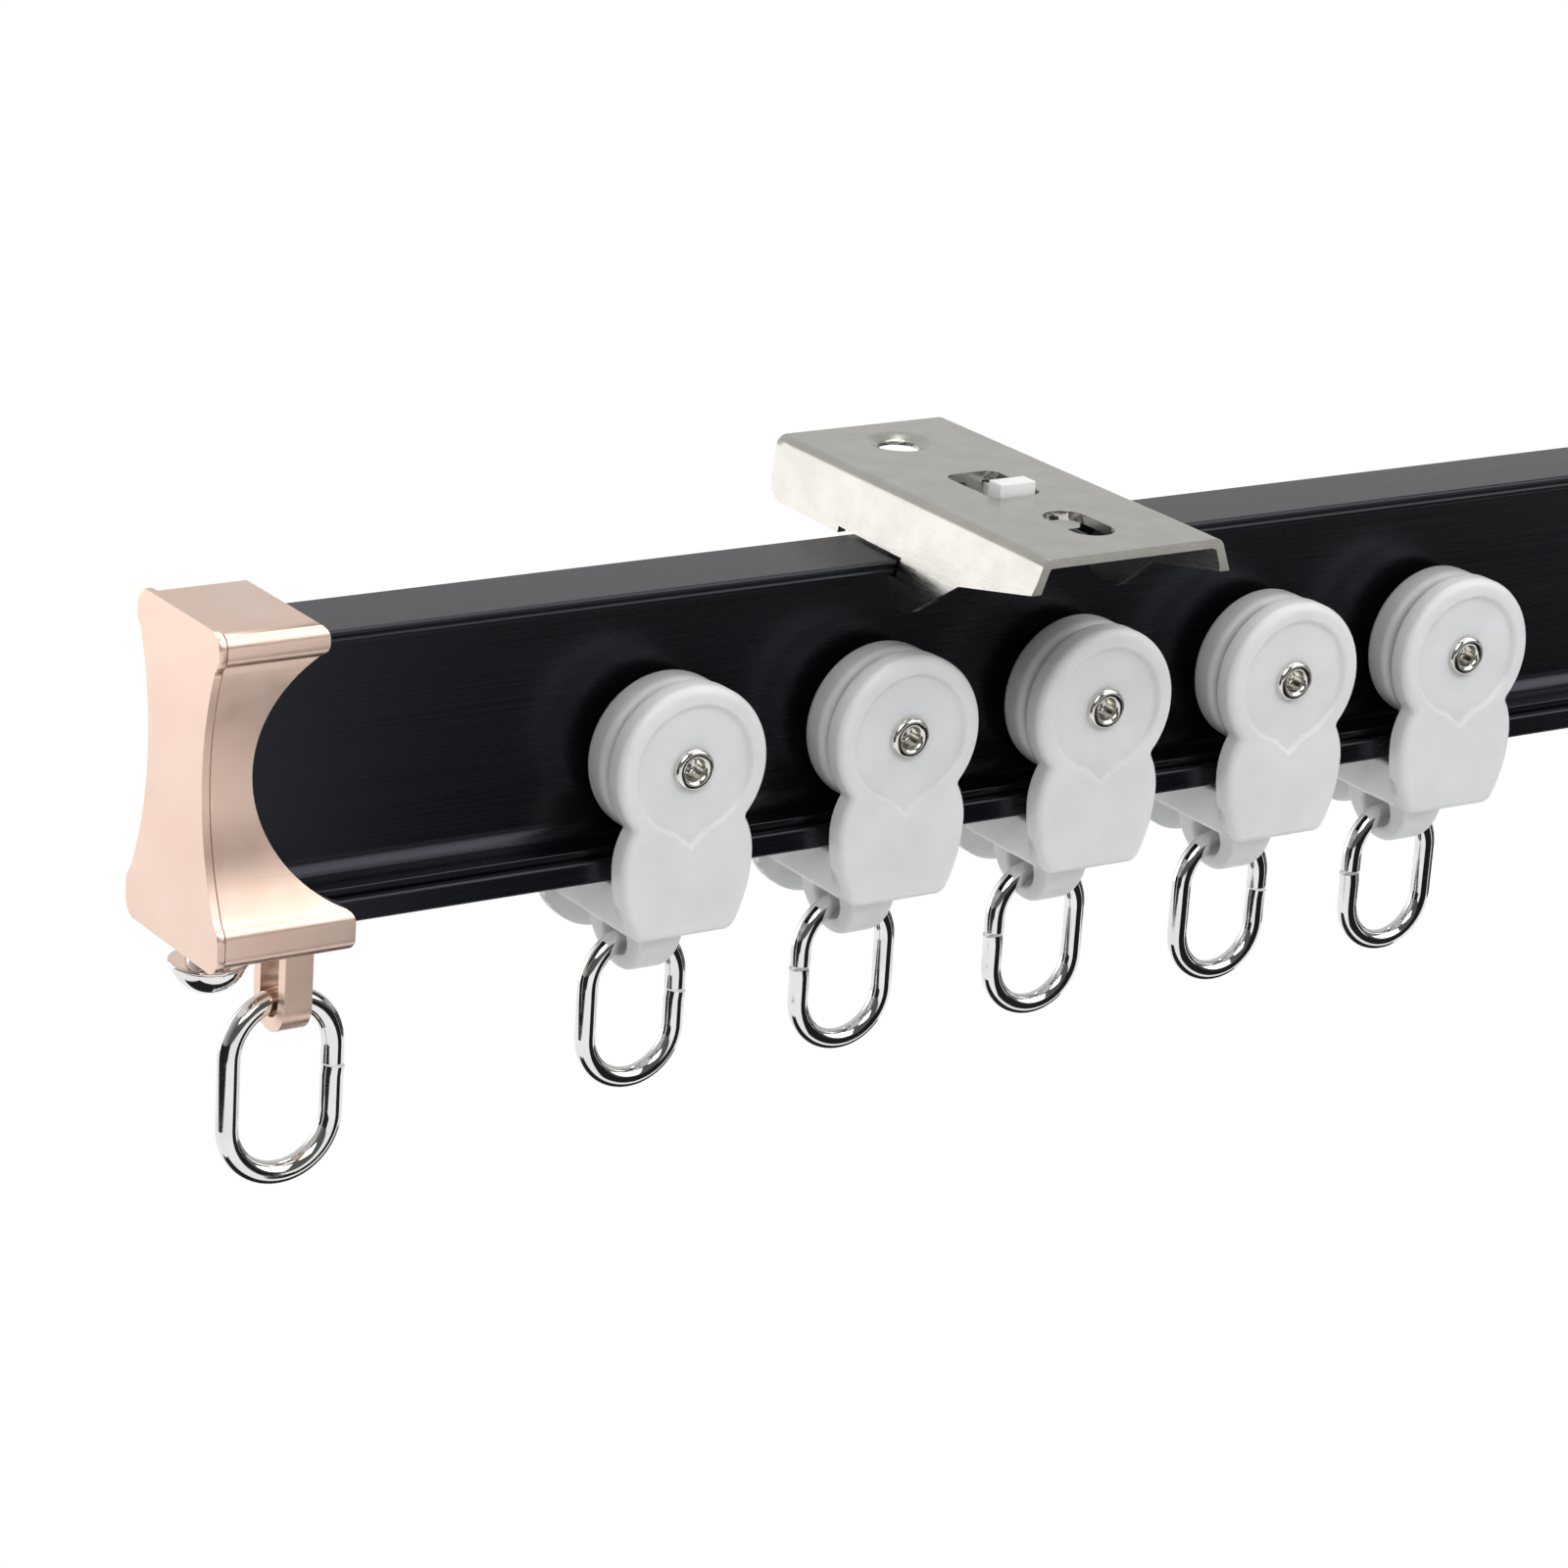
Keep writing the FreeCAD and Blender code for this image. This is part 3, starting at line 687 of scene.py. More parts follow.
def both_halves(half):
    """Closed outline from the points on one side of a symmetric shape."""
    return tidy(half + [(-u, v) for u, v in reversed(half)])


def rail_outline():
    """I section, (y, height), anticlockwise from the middle of the foot."""
    under = RAIL_TOP - FLANGE
    outer, inner = BOTTOM_HALF - BEAD_WIDTH, BOTTOM_HALF - BEAD_WIDTH - GROOVE_WIDTH
    line = under + LINE_RISE
    half = [(0, 0)] + arc(BOTTOM_HALF - EDGE_ROUND, EDGE_ROUND, EDGE_ROUND, -90, 0, EDGE_STEPS)
    half += arc(BOTTOM_HALF - EDGE_ROUND, BEAD_HEIGHT - EDGE_ROUND, EDGE_ROUND, 0, 90, EDGE_STEPS)
    half += arc(outer + CREST_ROUND, BEAD_HEIGHT - CREST_ROUND, CREST_ROUND, 90, 180, CREST_STEPS)
    half += [(outer, BEAD_HEIGHT - GROOVE_DEPTH), (inner, BEAD_HEIGHT - GROOVE_DEPTH)]
    half += arc(inner - CREST_ROUND, TREAD - CREST_ROUND, CREST_ROUND, 0, 90, CREST_STEPS)
    half += arc(WEB_HALF + ROOT_ROUND, TREAD + ROOT_ROUND, ROOT_ROUND, 270, 180, ROOT_STEPS)
    half += arc(WEB_HALF + NECK_ROUND, under - NECK_ROUND, NECK_ROUND, 180, 90, ROUND_STEPS)
    half += arc(TOP_HALF - CREST_ROUND, under + CREST_ROUND, CREST_ROUND, -90, 0, CREST_STEPS)
    half += [(TOP_HALF, line - LINE_DEPTH), (TOP_HALF - LINE_DEPTH, line), (TOP_HALF, line + LINE_DEPTH)]
    half += arc(TOP_HALF - EDGE_ROUND, RAIL_TOP - EDGE_ROUND, EDGE_ROUND, 0, 90, EDGE_STEPS)
    return both_halves(half + [(0, RAIL_TOP)])


def make_rail():
    """Extruded rail over its whole length."""
    length = RAIL_HIGH.x - RAIL_LOW.x
    mesh = prism(rail_outline(), lambda u, v: (RAIL_LOW.x, u, RAIL_BASE + v), (length, 0, 0))
    piece = stand_in("rail_extrusion", mesh)
    hand_in(even(piece), "rail", "black_anodised_aluminium")


def cap_section():
    """End view of a cap, (y, height): rounded lips above and below hollow sides."""
    top = RAIL_TOP + CAP_ROOF
    upper, lower = CAP_TOP_HALF - CAP_ROUND, CAP_BOTTOM_HALF - CAP_ROUND
    start = arc(upper, top - CAP_FACET + CAP_ROUND, CAP_ROUND, 0, -LIP_TURN, ROUND_STEPS)
    end = arc(lower, CAP_SHOULDER - CAP_ROUND, CAP_ROUND, LIP_TURN, 0, ROUND_STEPS)
    half = [(0, top)] + arc(upper, top - CAP_ROUND, CAP_ROUND, 90, 0, ROUND_STEPS) + start
    half += through(start[-1], (CAP_WAIST_HALF, CAP_WAIST), end[0], HOLLOW_STEPS)[1:-1] + end
    half += arc(lower, CAP_ROUND - CAP_FLOOR, CAP_ROUND, 0, -90, ROUND_STEPS) + [(0, -CAP_FLOOR)]
    return both_halves(half[::-1])


def cap_side_view():
    """Side view of a cap, (distance from its end face, height): two lips with a round scoop between."""
    top = RAIL_TOP + CAP_ROOF
    upper, lower = CAP_TOP_REACH - CAP_ROUND, CAP_BOTTOM_REACH - CAP_ROUND
    low_lip = arc(lower, CAP_SHOULDER - CAP_ROUND, CAP_ROUND, 0, LIP_TURN, ROUND_STEPS)
    high_lip = arc(upper, top - CAP_FACET + CAP_ROUND, CAP_ROUND, -LIP_TURN, 0, ROUND_STEPS)
    corner = arc(CAP_BOTTOM_REACH - LIP_ROUND, LIP_ROUND - CAP_FLOOR, LIP_ROUND, -90, 0, ROUND_STEPS)
    points = [(0, -CAP_FLOOR)] + corner + low_lip
    points += through(low_lip[-1], (CAP_WAIST_REACH, CAP_WAIST), high_lip[0], SCOOP_STEPS)[1:-1]
    points += high_lip + arc(upper, top - CAP_ROUND, CAP_ROUND, 0, 90, ROUND_STEPS) + [(0, top)]
    return tidy(points)


def through(first, middle, last, count):
    """Points along the arc through three points."""
    a, b, c = Vector(first), Vector(middle), Vector(last)
    d = 2 * (a.x * (b.y - c.y) + b.x * (c.y - a.y) + c.x * (a.y - b.y))
    aa, bb, cc = a.length_squared, b.length_squared, c.length_squared
    u = (aa * (b.y - c.y) + bb * (c.y - a.y) + cc * (a.y - b.y)) / d
    v = (aa * (c.x - b.x) + bb * (a.x - c.x) + cc * (b.x - a.x)) / d
    start = math.degrees(math.atan2(a.y - v, a.x - u))
    way = math.degrees(math.atan2(b.y - v, b.x - u)) - start
    end = math.degrees(math.atan2(c.y - v, c.x - u)) - start
    way = (way + 180) % 360 - 180
    end = end % 360 if way > 0 else end % 360 - 360
    return arc(u, v, math.hypot(a.x - u, a.y - v), start, start + end, count)


def block(x0, x1, y0, y1, z0, z1):
    """Closed block between the given places in mm."""
    corners = [(x0, y0), (x1, y0), (x1, y1), (x0, y1)]
    return prism(corners, lambda u, v: (u, v, z0), (0, 0, z1 - z0))


def cap_loop(x):
    """Eye plate under a cap, around x."""
    low = -CAP_FLOOR - LOOP_DROP
    thick = LOOP_THICKNESS

    def across(u, v):
        return (x - thick / 2, u, RAIL_BASE + v)

    def wider(u, v):
        return (x - thick, u, RAIL_BASE + v)

    rim = [(LOOP_HALF, -CAP_FLOOR / 2), (-LOOP_HALF, -CAP_FLOOR / 2)]
    rim += arc(0, low + LOOP_HALF, LOOP_HALF, 180, 360, FOOT_STEPS)
    hole = arc(0, low + LOOP_SEAT + LOOP_HOLE_HALF, LOOP_HOLE_HALF, 180, 360, SLOT_STEPS)
    hole += arc(0, -CAP_FLOOR - LOOP_HOLE_HALF, LOOP_HOLE_HALF, 0, 180, SLOT_STEPS)
    tab = stand_in("tab", prism(tidy(rim), across, (thick, 0, 0)))
    cut(tab, prism(tidy(hole), wider, (2 * thick, 0, 0)))
    return soften(tab, LOOP_EDGE, angle=CAST_TURN)


def cap_rooms(near, far):
    """Blocks that clear the rail's flanges and web inside a cap."""
    x0, x1 = min(near, far), max(near, far)
    under = RAIL_TOP - FLANGE - NECK_ROUND
    root = TREAD + ROOT_ROUND
    top, bottom = TOP_HALF + CAP_FIT, BOTTOM_HALF + CAP_FIT
    lap = CAP_FIT
    return (block(x0, x1, -top, top, RAIL_BASE + under, RAIL_BASE + RAIL_TOP + CAP_FIT),
            block(x0, x1, -bottom, bottom, RAIL_BASE - CAP_FIT, RAIL_BASE + root),
            block(x0, x1, -CAP_HOLLOW, CAP_HOLLOW, RAIL_BASE + root - lap, RAIL_BASE + under + lap))


def make_cap(node, end, way):
    """Cast cap: waisted block with a scooped edge, a proud end plate before a groove and an eye below."""
    def along(u, v):
        return (end + way * u, -2 * CAP_BOTTOM_HALF, RAIL_BASE + v)

    def slab(name, outline, start, stop):
        def across(u, v):
            return (end + way * start, u, RAIL_BASE + v)
        return stand_in(name, prism(outline, across, (way * (stop - start), 0, 0)))

    section = cap_section()
    width, depth = PLATE_GROOVE
    seat = PLATE + width
    piece = slab(node + "_casting", section, seat, CAP_BOTTOM_REACH)
    cut(piece, prism(cap_side_view(), along, (0, 4 * CAP_BOTTOM_HALF, 0)), "INTERSECT")
    soften(piece, CAST_EDGE, segments=4, angle=CAST_TURN)
    plate = slab("plate", inset(section, -PLATE_PROUD), 0, PLATE)
    soften(plate, PLATE_EDGE, angle=CAST_TURN)
    neck = slab("neck", inset(section, depth), PLATE / 2, seat + width)
    tab = cap_loop(end + way * LOOP_REACH)
    for part in (neck, plate, tab):
        cut(piece, part.data, "UNION")
        bpy.data.objects.remove(part)
    for room in cap_rooms(end + way * CAP_WALL, end + way * 2 * CAP_BOTTOM_REACH):
        cut(piece, room)
    hand_in(even(piece), node, "rose_gold_lacquered_zinc")


def folded_section(depth, round_edge, lean):
    """Front view of the bracket's folded sheet, (x, z), at a depth inside its outer faces."""
    angle = math.radians(lean)
    slope = math.tan(angle)
    half = BRACKET_HALF - depth / math.cos(angle)
    low = 2 * BEAK_TIP[1]
    reach = round_edge * math.tan((math.pi / 2 - angle) / 2)
    corner = half + depth * slope
    side = arc(corner - reach, -depth - round_edge, round_edge, 90, lean, FOLD_STEPS)
    side += [(half - low * slope, low)]
    other = [(-u, v) for u, v in reversed(side)]
    return tidy(other + side)


def folded_block(depth, round_edge):
    """Block with the folded section, ruled from the rear to the front and a little past both ends."""
    rear, front = (folded_section(depth, round_edge, lean) for lean in WALL_LEANS)
    bm = bmesh.new()
    rings = []
    for step in range(-RULINGS_PAST, RULINGS + RULINGS_PAST + 1):
        share = step / RULINGS
        y = BRACKET_REAR + (BRACKET_FRONT - BRACKET_REAR) * share
        points = []
        for (u0, v0), (u1, v1) in zip(rear, front):
            points.append((u0 + (u1 - u0) * share, y, v0 + (v1 - v0) * share))
        rings.append(loop(bm, points))
    for first, second in zip(rings, rings[1:]):
        skin(bm, first, second)
    fill(bm, rings[0])
    fill(bm, rings[-1])
    bmesh.ops.triangulate(bm, faces=bm.faces[:])
    return mesh_of("folded", bm)


def wall_view():
    """Side view of the bracket's walls, (y, z): notch over the rail's flange and a hooked beak."""
    rail_top = RAIL_BASE + RAIL_TOP
    notch_top = rail_top + FLANGE_PLAY
    notch_front = -TOP_HALF - FLANGE_PLAY
    hook_top = rail_top - FLANGE - FLANGE_PLAY
    hook_rear = BEAK_REACH - TOP_HALF
    bow = (hook_rear - BEAK_HOLLOW[0], (hook_top + BEAK_TIP[1]) / 2 - BEAK_HOLLOW[1])
    corner = (BRACKET_REAR - WALL_CORNER, WALL_CORNER - WALL_REAR_DEPTH)
    points = [(BRACKET_REAR, SHEET)] + arc(*corner, WALL_CORNER, 0, -90, ROUND_STEPS)
    points += [(NOTCH_REAR, -WALL_REAR_DEPTH), (NOTCH_REAR, notch_top), (notch_front, notch_top)]
    points += [(notch_front, hook_top), (hook_rear, hook_top)]
    points += through((hook_rear, hook_top), bow, BEAK_TIP, BOW_STEPS)[1:]
    points += [BEAK_HEEL, (BRACKET_FRONT, -WALL_FRONT_DEPTH), (BRACKET_FRONT, SHEET)]
    return tidy(points)


def plate_openings():
    """Outlines of the screw slot and the window, (x, y)."""
    rear, front = SLOT_ENDS[0] - SLOT_HALF, SLOT_ENDS[1] + SLOT_HALF
    slot = arc(0, front, SLOT_HALF, 180, 360, SLOT_STEPS)
    slot += arc(0, rear, SLOT_HALF, 0, 180, SLOT_STEPS)
    side = WINDOW_HALF - WINDOW_ROUND
    rear, front = WINDOW_ENDS[0] - WINDOW_ROUND, WINDOW_ENDS[1] + WINDOW_ROUND
    window = []
    for x, y, start in ((side, rear, 0), (-side, rear, 90), (-side, front, 180), (side, front, 270)):
        window += arc(x, y, WINDOW_ROUND, start, start + 90, EDGE_STEPS)
    return tidy(slot), tidy(window)


def lanced_flap():
    """Tongue bent down from the window's rear edge, with a foot under the latch."""
    near, far = WINDOW_ENDS[0], WINDOW_ENDS[0] + SHEET
    top = -SHEET - LATCH_THICKNESS - 2 * LATCH_GAP
    low = top - FLAP_THICKNESS
    side = [(near, -SHEET / 2), (near, low), (far + FLAP_FOOT, low), (far + FLAP_FOOT, top), (far, top),
            (far, -SHEET / 2)]
    tongue = stand_in("tongue", prism(side, lambda u, v: (-FLAP_HALF, u, v), (2 * FLAP_HALF, 0, 0)))
    return soften(tongue, FLAP_EDGE, segments=2, angle=SHEET_TURN)


def make_bracket():
    """Stamped bracket: folded channel with a dished hole, slot, window and lanced flap."""
    piece = stand_in("bracket_stamping", folded_block(0, FOLD_ROUND))
    wide = 4 * BRACKET_HALF
    cut(piece, prism(wall_view(), lambda u, v: (-wide / 2, u, v), (wide, 0, 0)), "INTERSECT")
    cut(piece, folded_block(SHEET, FOLD_INNER))
    for outline in plate_openings():
        cut(piece, prism(outline, lambda u, v: (u, v, -2 * SHEET), (0, 0, 4 * SHEET)))
    profile = [(0, DISH[0][1]), *DISH, (0, DISH[-1][1])]
    cut(piece, lathe(profile, lambda u, v, t: (u, DISH_PLACE + v, t)))
    soften(piece, SHEET_EDGE, angle=SHEET_TURN)
    tongue = lanced_flap()
    cut(piece, tongue.data, "UNION")
    bpy.data.objects.remove(tongue)
    hand_in(even(piece), "bracket_channel", "nickel_plated_sheet")


def make_latch():
    """CAD slider as one joined mesh with softened edges."""
    bm = bmesh.new()
    bm.from_mesh(frame["nodes"]["latch_slider"].data)
    bmesh.ops.remove_doubles(bm, verts=bm.verts, dist=WELD * MM)
    bmesh.ops.dissolve_limit(bm, angle_limit=math.radians(FLAT_TURN), verts=bm.verts, edges=bm.edges)
    piece = stand_in("latch_moulding", mesh_of("latch_moulding", bm))
    hand_in(soften(piece, LATCH_EDGE), "latch_slider", "white_nylon_latch")


def upper_side():
    """Side of an arm from the cheek's widest place up over the head, (x, height over the axle)."""
    bulge = Vector((CHEEK_HALF - UPPER_BULGE, -CHEEK_DROP))
    way = bulge.normalized()
    reach = HEAD_RADIUS + WAIST_ROUND
    along = (reach ** 2 + bulge.length ** 2 - (UPPER_BULGE + WAIST_ROUND) ** 2) / (2 * bulge.length)
    waist = way * along + Vector((-way.y, way.x)) * math.sqrt(reach ** 2 - along ** 2)
    rise = math.degrees(math.atan2(waist.y - bulge.y, waist.x - bulge.x))
    fall = math.degrees(math.atan2(waist.y, waist.x))
    side = arc(bulge.x, bulge.y, UPPER_BULGE, 0, rise, ROUND_STEPS)
    side += arc(waist.x, waist.y, WAIST_ROUND, rise + 180, fall + 180, ROUND_STEPS)
    return tidy_open(side + arc(0, 0, HEAD_RADIUS, fall, 90, HEAD_STEPS))


def arm_outline():
    """Front arm, with a nearly straight foot."""
    foot = -AXLE - CARRIER_FLOOR
    bulge = LOWER_BULGE - FOOT_ROUND
    fall = math.degrees(math.asin((-CHEEK_DROP - foot - FOOT_ROUND) / bulge))
    corner = CHEEK_HALF - LOWER_BULGE + bulge * math.cos(math.radians(fall))
    half = [(0, foot)] + arc(corner, foot + FOOT_ROUND, FOOT_ROUND, -90, -fall, ROUND_STEPS)
    half += arc(CHEEK_HALF - LOWER_BULGE, -CHEEK_DROP, LOWER_BULGE, -fall, 0, ROUND_STEPS)
    return both_halves(half + upper_side())


def rear_outline():
    """Rear arm, with a round foot that meets the cheek's lower bulge."""
    centre = Vector((0, -AXLE - REAR_FOOT_DROP))
    bulge = Vector((CHEEK_HALF - LOWER_BULGE, -CHEEK_DROP))
    gap = (bulge - centre).length
    along = (gap ** 2 + REAR_FOOT ** 2 - LOWER_BULGE ** 2) / (2 * gap)
    way = (bulge - centre) / gap
    meet = centre + way * along + Vector((way.y, -way.x)) * math.sqrt(REAR_FOOT ** 2 - along ** 2)
    foot_end = math.degrees(math.atan2(meet.y - centre.y, meet.x - centre.x))
    bulge_start = math.degrees(math.atan2(meet.y - bulge.y, meet.x - bulge.x))
    half = arc(centre.x, centre.y, REAR_FOOT, -90, foot_end, FOOT_STEPS)
    half += arc(bulge.x, bulge.y, LOWER_BULGE, bulge_start, 0, ROUND_STEPS)
    return both_halves(half + upper_side())


def recess_outline():
    """Round recess around the rivet with a small point at its foot."""
    half = [(0, -RECESS_POINT)] + arc(0, 0, RECESS_RADIUS, POINT_SPREAD - 90, 90, RECESS_STEPS)
    return both_halves(half)


def arm_mesh(bm, side, outline):
    """Arm with a rounded rim, a shallow recess and the rivet's hole; side is -1 for the front."""
    recess = recess_outline()
    hole = arc(0, 0, RIVET_RADIUS, 0, 360, BORE_STEPS)[:-1]
    floor = ARM_OUTER - RECESS_DEPTH

    def ring(points, y):
        return loop(bm, [(u, side * y, RAIL_BASE + AXLE + v) for u, v in points])

    back = ring(outline, ARM_INNER)
    rings = [back, ring(outline, ARM_OUTER - ARM_ROUND)]
    for step in range(1, RIM_STEPS + 1):
        angle = math.radians(90 * step / RIM_STEPS)
        moved = inset(outline, ARM_ROUND * (1 - math.cos(angle)))
        rings.append(ring(moved, ARM_OUTER - ARM_ROUND * (1 - math.sin(angle))))
    wall = []
    for wide, deep in RECESS_WALL:
        wall.append(ring(inset(recess, -wide * RECESS_ROUND), ARM_OUTER - deep * RECESS_DEPTH))
    bore = [ring(hole, floor), ring(hole, ARM_INNER)]
    for chain in (rings, wall, bore):
        for first, second in zip(chain, chain[1:]):
            skin(bm, first, second)
    fill(bm, rings[-1], wall[0])
    fill(bm, wall[-1], bore[0])
    fill(bm, back, bore[-1])


def bridge_mesh():
    """Bridge under the rail that joins the two arms, let into both."""
    half = ARM_INNER + BRIDGE_GAP / 2
    low, high = RAIL_BASE - CARRIER_FLOOR, RAIL_BASE - BRIDGE_GAP
    return block(-BRIDGE_HALF, BRIDGE_HALF, -half, half, low, high)


def eye_mesh():
    """Tapered eye with a round foot and its hole along the rail, let into the bridge."""
    foot = -CARRIER_FLOOR - EYE_DROP
    top = -CARRIER_FLOOR + BRIDGE_GAP / 2
    rim = [(EYE_HALF, top), (-EYE_HALF, top)]
    rim = tidy(rim + arc(0, foot + EYE_HALF, EYE_HALF, 180, 360, FOOT_STEPS))
    hole = arc(0, -CARRIER_FLOOR - EYE_HOLE_DROP, EYE_HOLE, 360, 0, BORE_STEPS)[:-1]
    bm = bmesh.new()

    def ring(points, side):
        places = []
        for y, v in points:
            thick = EYE_BOTTOM_HALF + (EYE_TOP_HALF - EYE_BOTTOM_HALF) * (v - foot) / EYE_DROP
            places.append((side * thick, y, RAIL_BASE + v))
        return loop(bm, places)

    sides = [(ring(rim, side), ring(hole, side)) for side in (-1, 1)]
    skin(bm, sides[0][0], sides[1][0])
    skin(bm, sides[0][1], sides[1][1])
    for pair in sides:
        fill(bm, *pair)
    return mesh_of("eye", bm)


def carrier_mesh():
    """Moulded carrier at the rail's middle: two arms, bridge and eye in one mesh."""
    bm = bmesh.new()
    arm_mesh(bm, -1, arm_outline())
    arm_mesh(bm, 1, rear_outline())
    arms = mesh_of("arms", bm)
    bm = bmesh.new()
    bm.from_mesh(arms)
    for mesh, width in ((bridge_mesh(), BRIDGE_EDGE), (eye_mesh(), EYE_EDGE)):
        part = soften(stand_in("part", mesh), width, segments=4)
        bm.from_mesh(part.data)
        bpy.data.objects.remove(part)
    piece = even(stand_in("carrier", mesh_of("carrier", bm)))
    mesh = piece.data
    bpy.data.objects.remove(piece)
    return mesh


def wheel_profile():
    """Front wheel, (radius, distance behind the rail's middle plane)."""
    near, far = -WHEEL_INNER, -WHEEL_INNER - WHEEL_WIDTH
    rim, shelf = WHEEL_RADIUS - WHEEL_RIM, WHEEL_RADIUS - WHEEL_RIM - WHEEL_DISH
    bore, hub = RIVET_RADIUS + RIVET_FIT, HUB_RADIUS + WHEEL_DISH
    web = near - HUB_INSET - WHEEL_DISH / 2
    points = [(bore, near - HUB_INSET), (HUB_RADIUS, near - HUB_INSET)]
    points += [(hub, web), (shelf, web), (rim, near)]
    points += arc(WHEEL_RADIUS - WHEEL_ROUND, near - WHEEL_ROUND, WHEEL_ROUND, 90, 0, ROUND_STEPS)
    points += arc(WHEEL_RADIUS - WHEEL_ROUND, far + WHEEL_ROUND, WHEEL_ROUND, 0, -90, ROUND_STEPS)
    points += [(rim, far), (shelf, far + WHEEL_DISH), (hub, far + WHEEL_DISH)]
    points += [(HUB_RADIUS, far - HUB_PROUD), (bore, far - HUB_PROUD)]
    return points


def rivet_profile():
    """Front rivet: rolled head with a blind hole over the recess, foot inside the hub."""
    seat = RECESS_DEPTH - ARM_OUTER
    foot = RIVET_PLAY - WHEEL_INNER - HUB_INSET
    radius, head = RIVET_HEAD
    roll, corner = (radius - RIVET_BORE) / 2, head / 2
    end = seat - head + RIVET_BORE_DEPTH
    points = [(0, end), (RIVET_BORE - corner, end)]
    points += arc(RIVET_BORE - corner, end - corner, corner, 90, 0, EDGE_STEPS)
    points += arc(RIVET_BORE + roll, seat - head + roll, roll, 180, 360, ROLL_STEPS)
    points += [(radius, seat), (RIVET_RADIUS, seat), (RIVET_RADIUS, foot)]
    points += [(RIVET_FOOT[0], foot), (RIVET_FOOT[0], foot + RIVET_FOOT[1]), (0, foot + RIVET_FOOT[1])]
    return points


def make_carriers():
    """Five carriers with their wheels and rivets, from one moulding and two turned profiles."""
    base = carrier_mesh()
    for number in CARRIERS:
        prefix = "carrier_%d_" % number
        low, high = span(prefix + "body")
        x = (low.x + high.x) / 2
        mesh = base.copy()
        mesh.transform(Matrix.Translation((x * MM, 0, 0)))
        hand_in(stand_in(prefix + "moulding", mesh), prefix + "body", "white_nylon_moulding")
        for place, side in (("front", 1), ("rear", -1)):
            def spot(u, v, t):
                return (x + u, side * t, RAIL_BASE + AXLE + v)
            wheel = stand_in(prefix + "roller_" + place, lathe(wheel_profile(), spot))
            hand_in(wheel, prefix + "wheel_" + place, "white_nylon_wheel")
            rivet = stand_in(prefix + "axle_" + place, lathe(rivet_profile(), spot, RIVET_STEPS))
            hand_in(rivet, prefix + "rivet_" + place, "nickel_plated_rivet")


def make_rings():
    """Split oval rings in the eyes of the carriers and caps."""
    for node, side in SPLIT_SIDES.items():
        wire = CAP_WIRE if node.startswith("cap") else CARRIER_WIRE
        path = oval_path(node, wire, side)
        piece = swept_wire(node + "_wire", path, wire / 2, "chrome_plated_steel", WIRE_SIDES)
        hand_in(piece, node, "chrome_plated_steel")


def screw_profile():
    """Shank, collar and domed head, (radius, distance below the cap's floor)."""
    collar, neck = SCREW_COLLAR
    radius, height = SCREW_HEAD
    edge = SCREW_RIM / 2
    rim, crown = neck + SCREW_RIM, neck + height
    rise = crown - rim
    sphere = ((radius - edge) ** 2 + rise ** 2) / (2 * rise)
    sweep = math.degrees(math.asin((radius - edge) / sphere))
    points = [(0, -SCREW_BITE), (SCREW_SHANK, -SCREW_BITE), (SCREW_SHANK, 0), (collar, 0), (collar, neck)]
    points += arc(radius - edge, neck + edge, edge, -90, 90, ROUND_STEPS)
    points += arc(0, crown - sphere, sphere, 90 - sweep, 90, DOME_STEPS)
    return tidy(points)


def make_screws():
    """Domed screws with a driver slot, under the caps."""
    for node in ("cap_screw_left", "cap_screw_right"):
        low, high = span(node)
        x = (low.x + high.x) / 2
        seat = RAIL_BASE - CAP_FLOOR
        piece = stand_in(node + "_turned", lathe(screw_profile(), lambda u, v, t: (x + u, v, seat - t)))
        half, deep = SCREW_SLOT / 2, low.z + SCREW_SLOT
        cut(piece, block(low.x - SCREW_RIM, high.x + SCREW_RIM, -half, half, low.z - SCREW_RIM, deep))
        soften(piece, SCREW_EDGE, segments=2)
        hand_in(piece, node, "chrome_plated_steel")


def make_spring():
    """Coil along the CAD spring's box, on the spring's body."""
    low, high = span("latch_spring")
    x, z = (low.x + high.x) / 2, (low.z + high.z) / 2
    start, end = low.y + SPRING_WIRE / 2, high.y - SPRING_WIRE / 2
    count = COIL_STEPS * SPRING_TURNS
    path = []
    for step in range(count + 1):
        share = step / count
        angle = 2 * math.pi * SPRING_TURNS * share
        place = Vector((math.cos(angle), 0, math.sin(angle))) * SPRING_RADIUS
        path.append(place + Vector((x, start + (end - start) * share, z)))
    piece = swept_wire("latch_spring_coil", path, SPRING_WIRE / 2, "spring_steel", SPRING_SIDES)
    hand_in(piece, "latch_spring", "spring_steel")
    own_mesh(piece)


# stage

CAMERA_LENS = 119.135
CAMERA_SENSOR = 36.0
CAMERA_PLACE = (-0.30606, -0.42377, 0.14413)
CAMERA_TURN = -33.8873          # degrees around the upright, then down, then around its own axis
CAMERA_FALL = 18.9504
CAMERA_ROLL = 3.7228
CAMERA_CLIP = (0.01, 50.0)

# name, place in metres, width in metres and power of each soft box
LAMPS = (
    ("key_box", (-0.6, -0.8, 0.85), 0.7, 6.5),
    ("front_box", (0.75, -0.8, 0.75), 1.1, 8.0),
    ("roof_box", (0.15, 0.05, 1.0), 0.8, 4.0),
)
AIM = (0, 0, -0.03)             # what the soft boxes face, in metres
FLOOR = -250.0                  # top of the floor, in mm
FLOOR_REACH = 6000.0
FLOOR_THICKNESS = 12.0
FLOOR_GLOW = 1.0

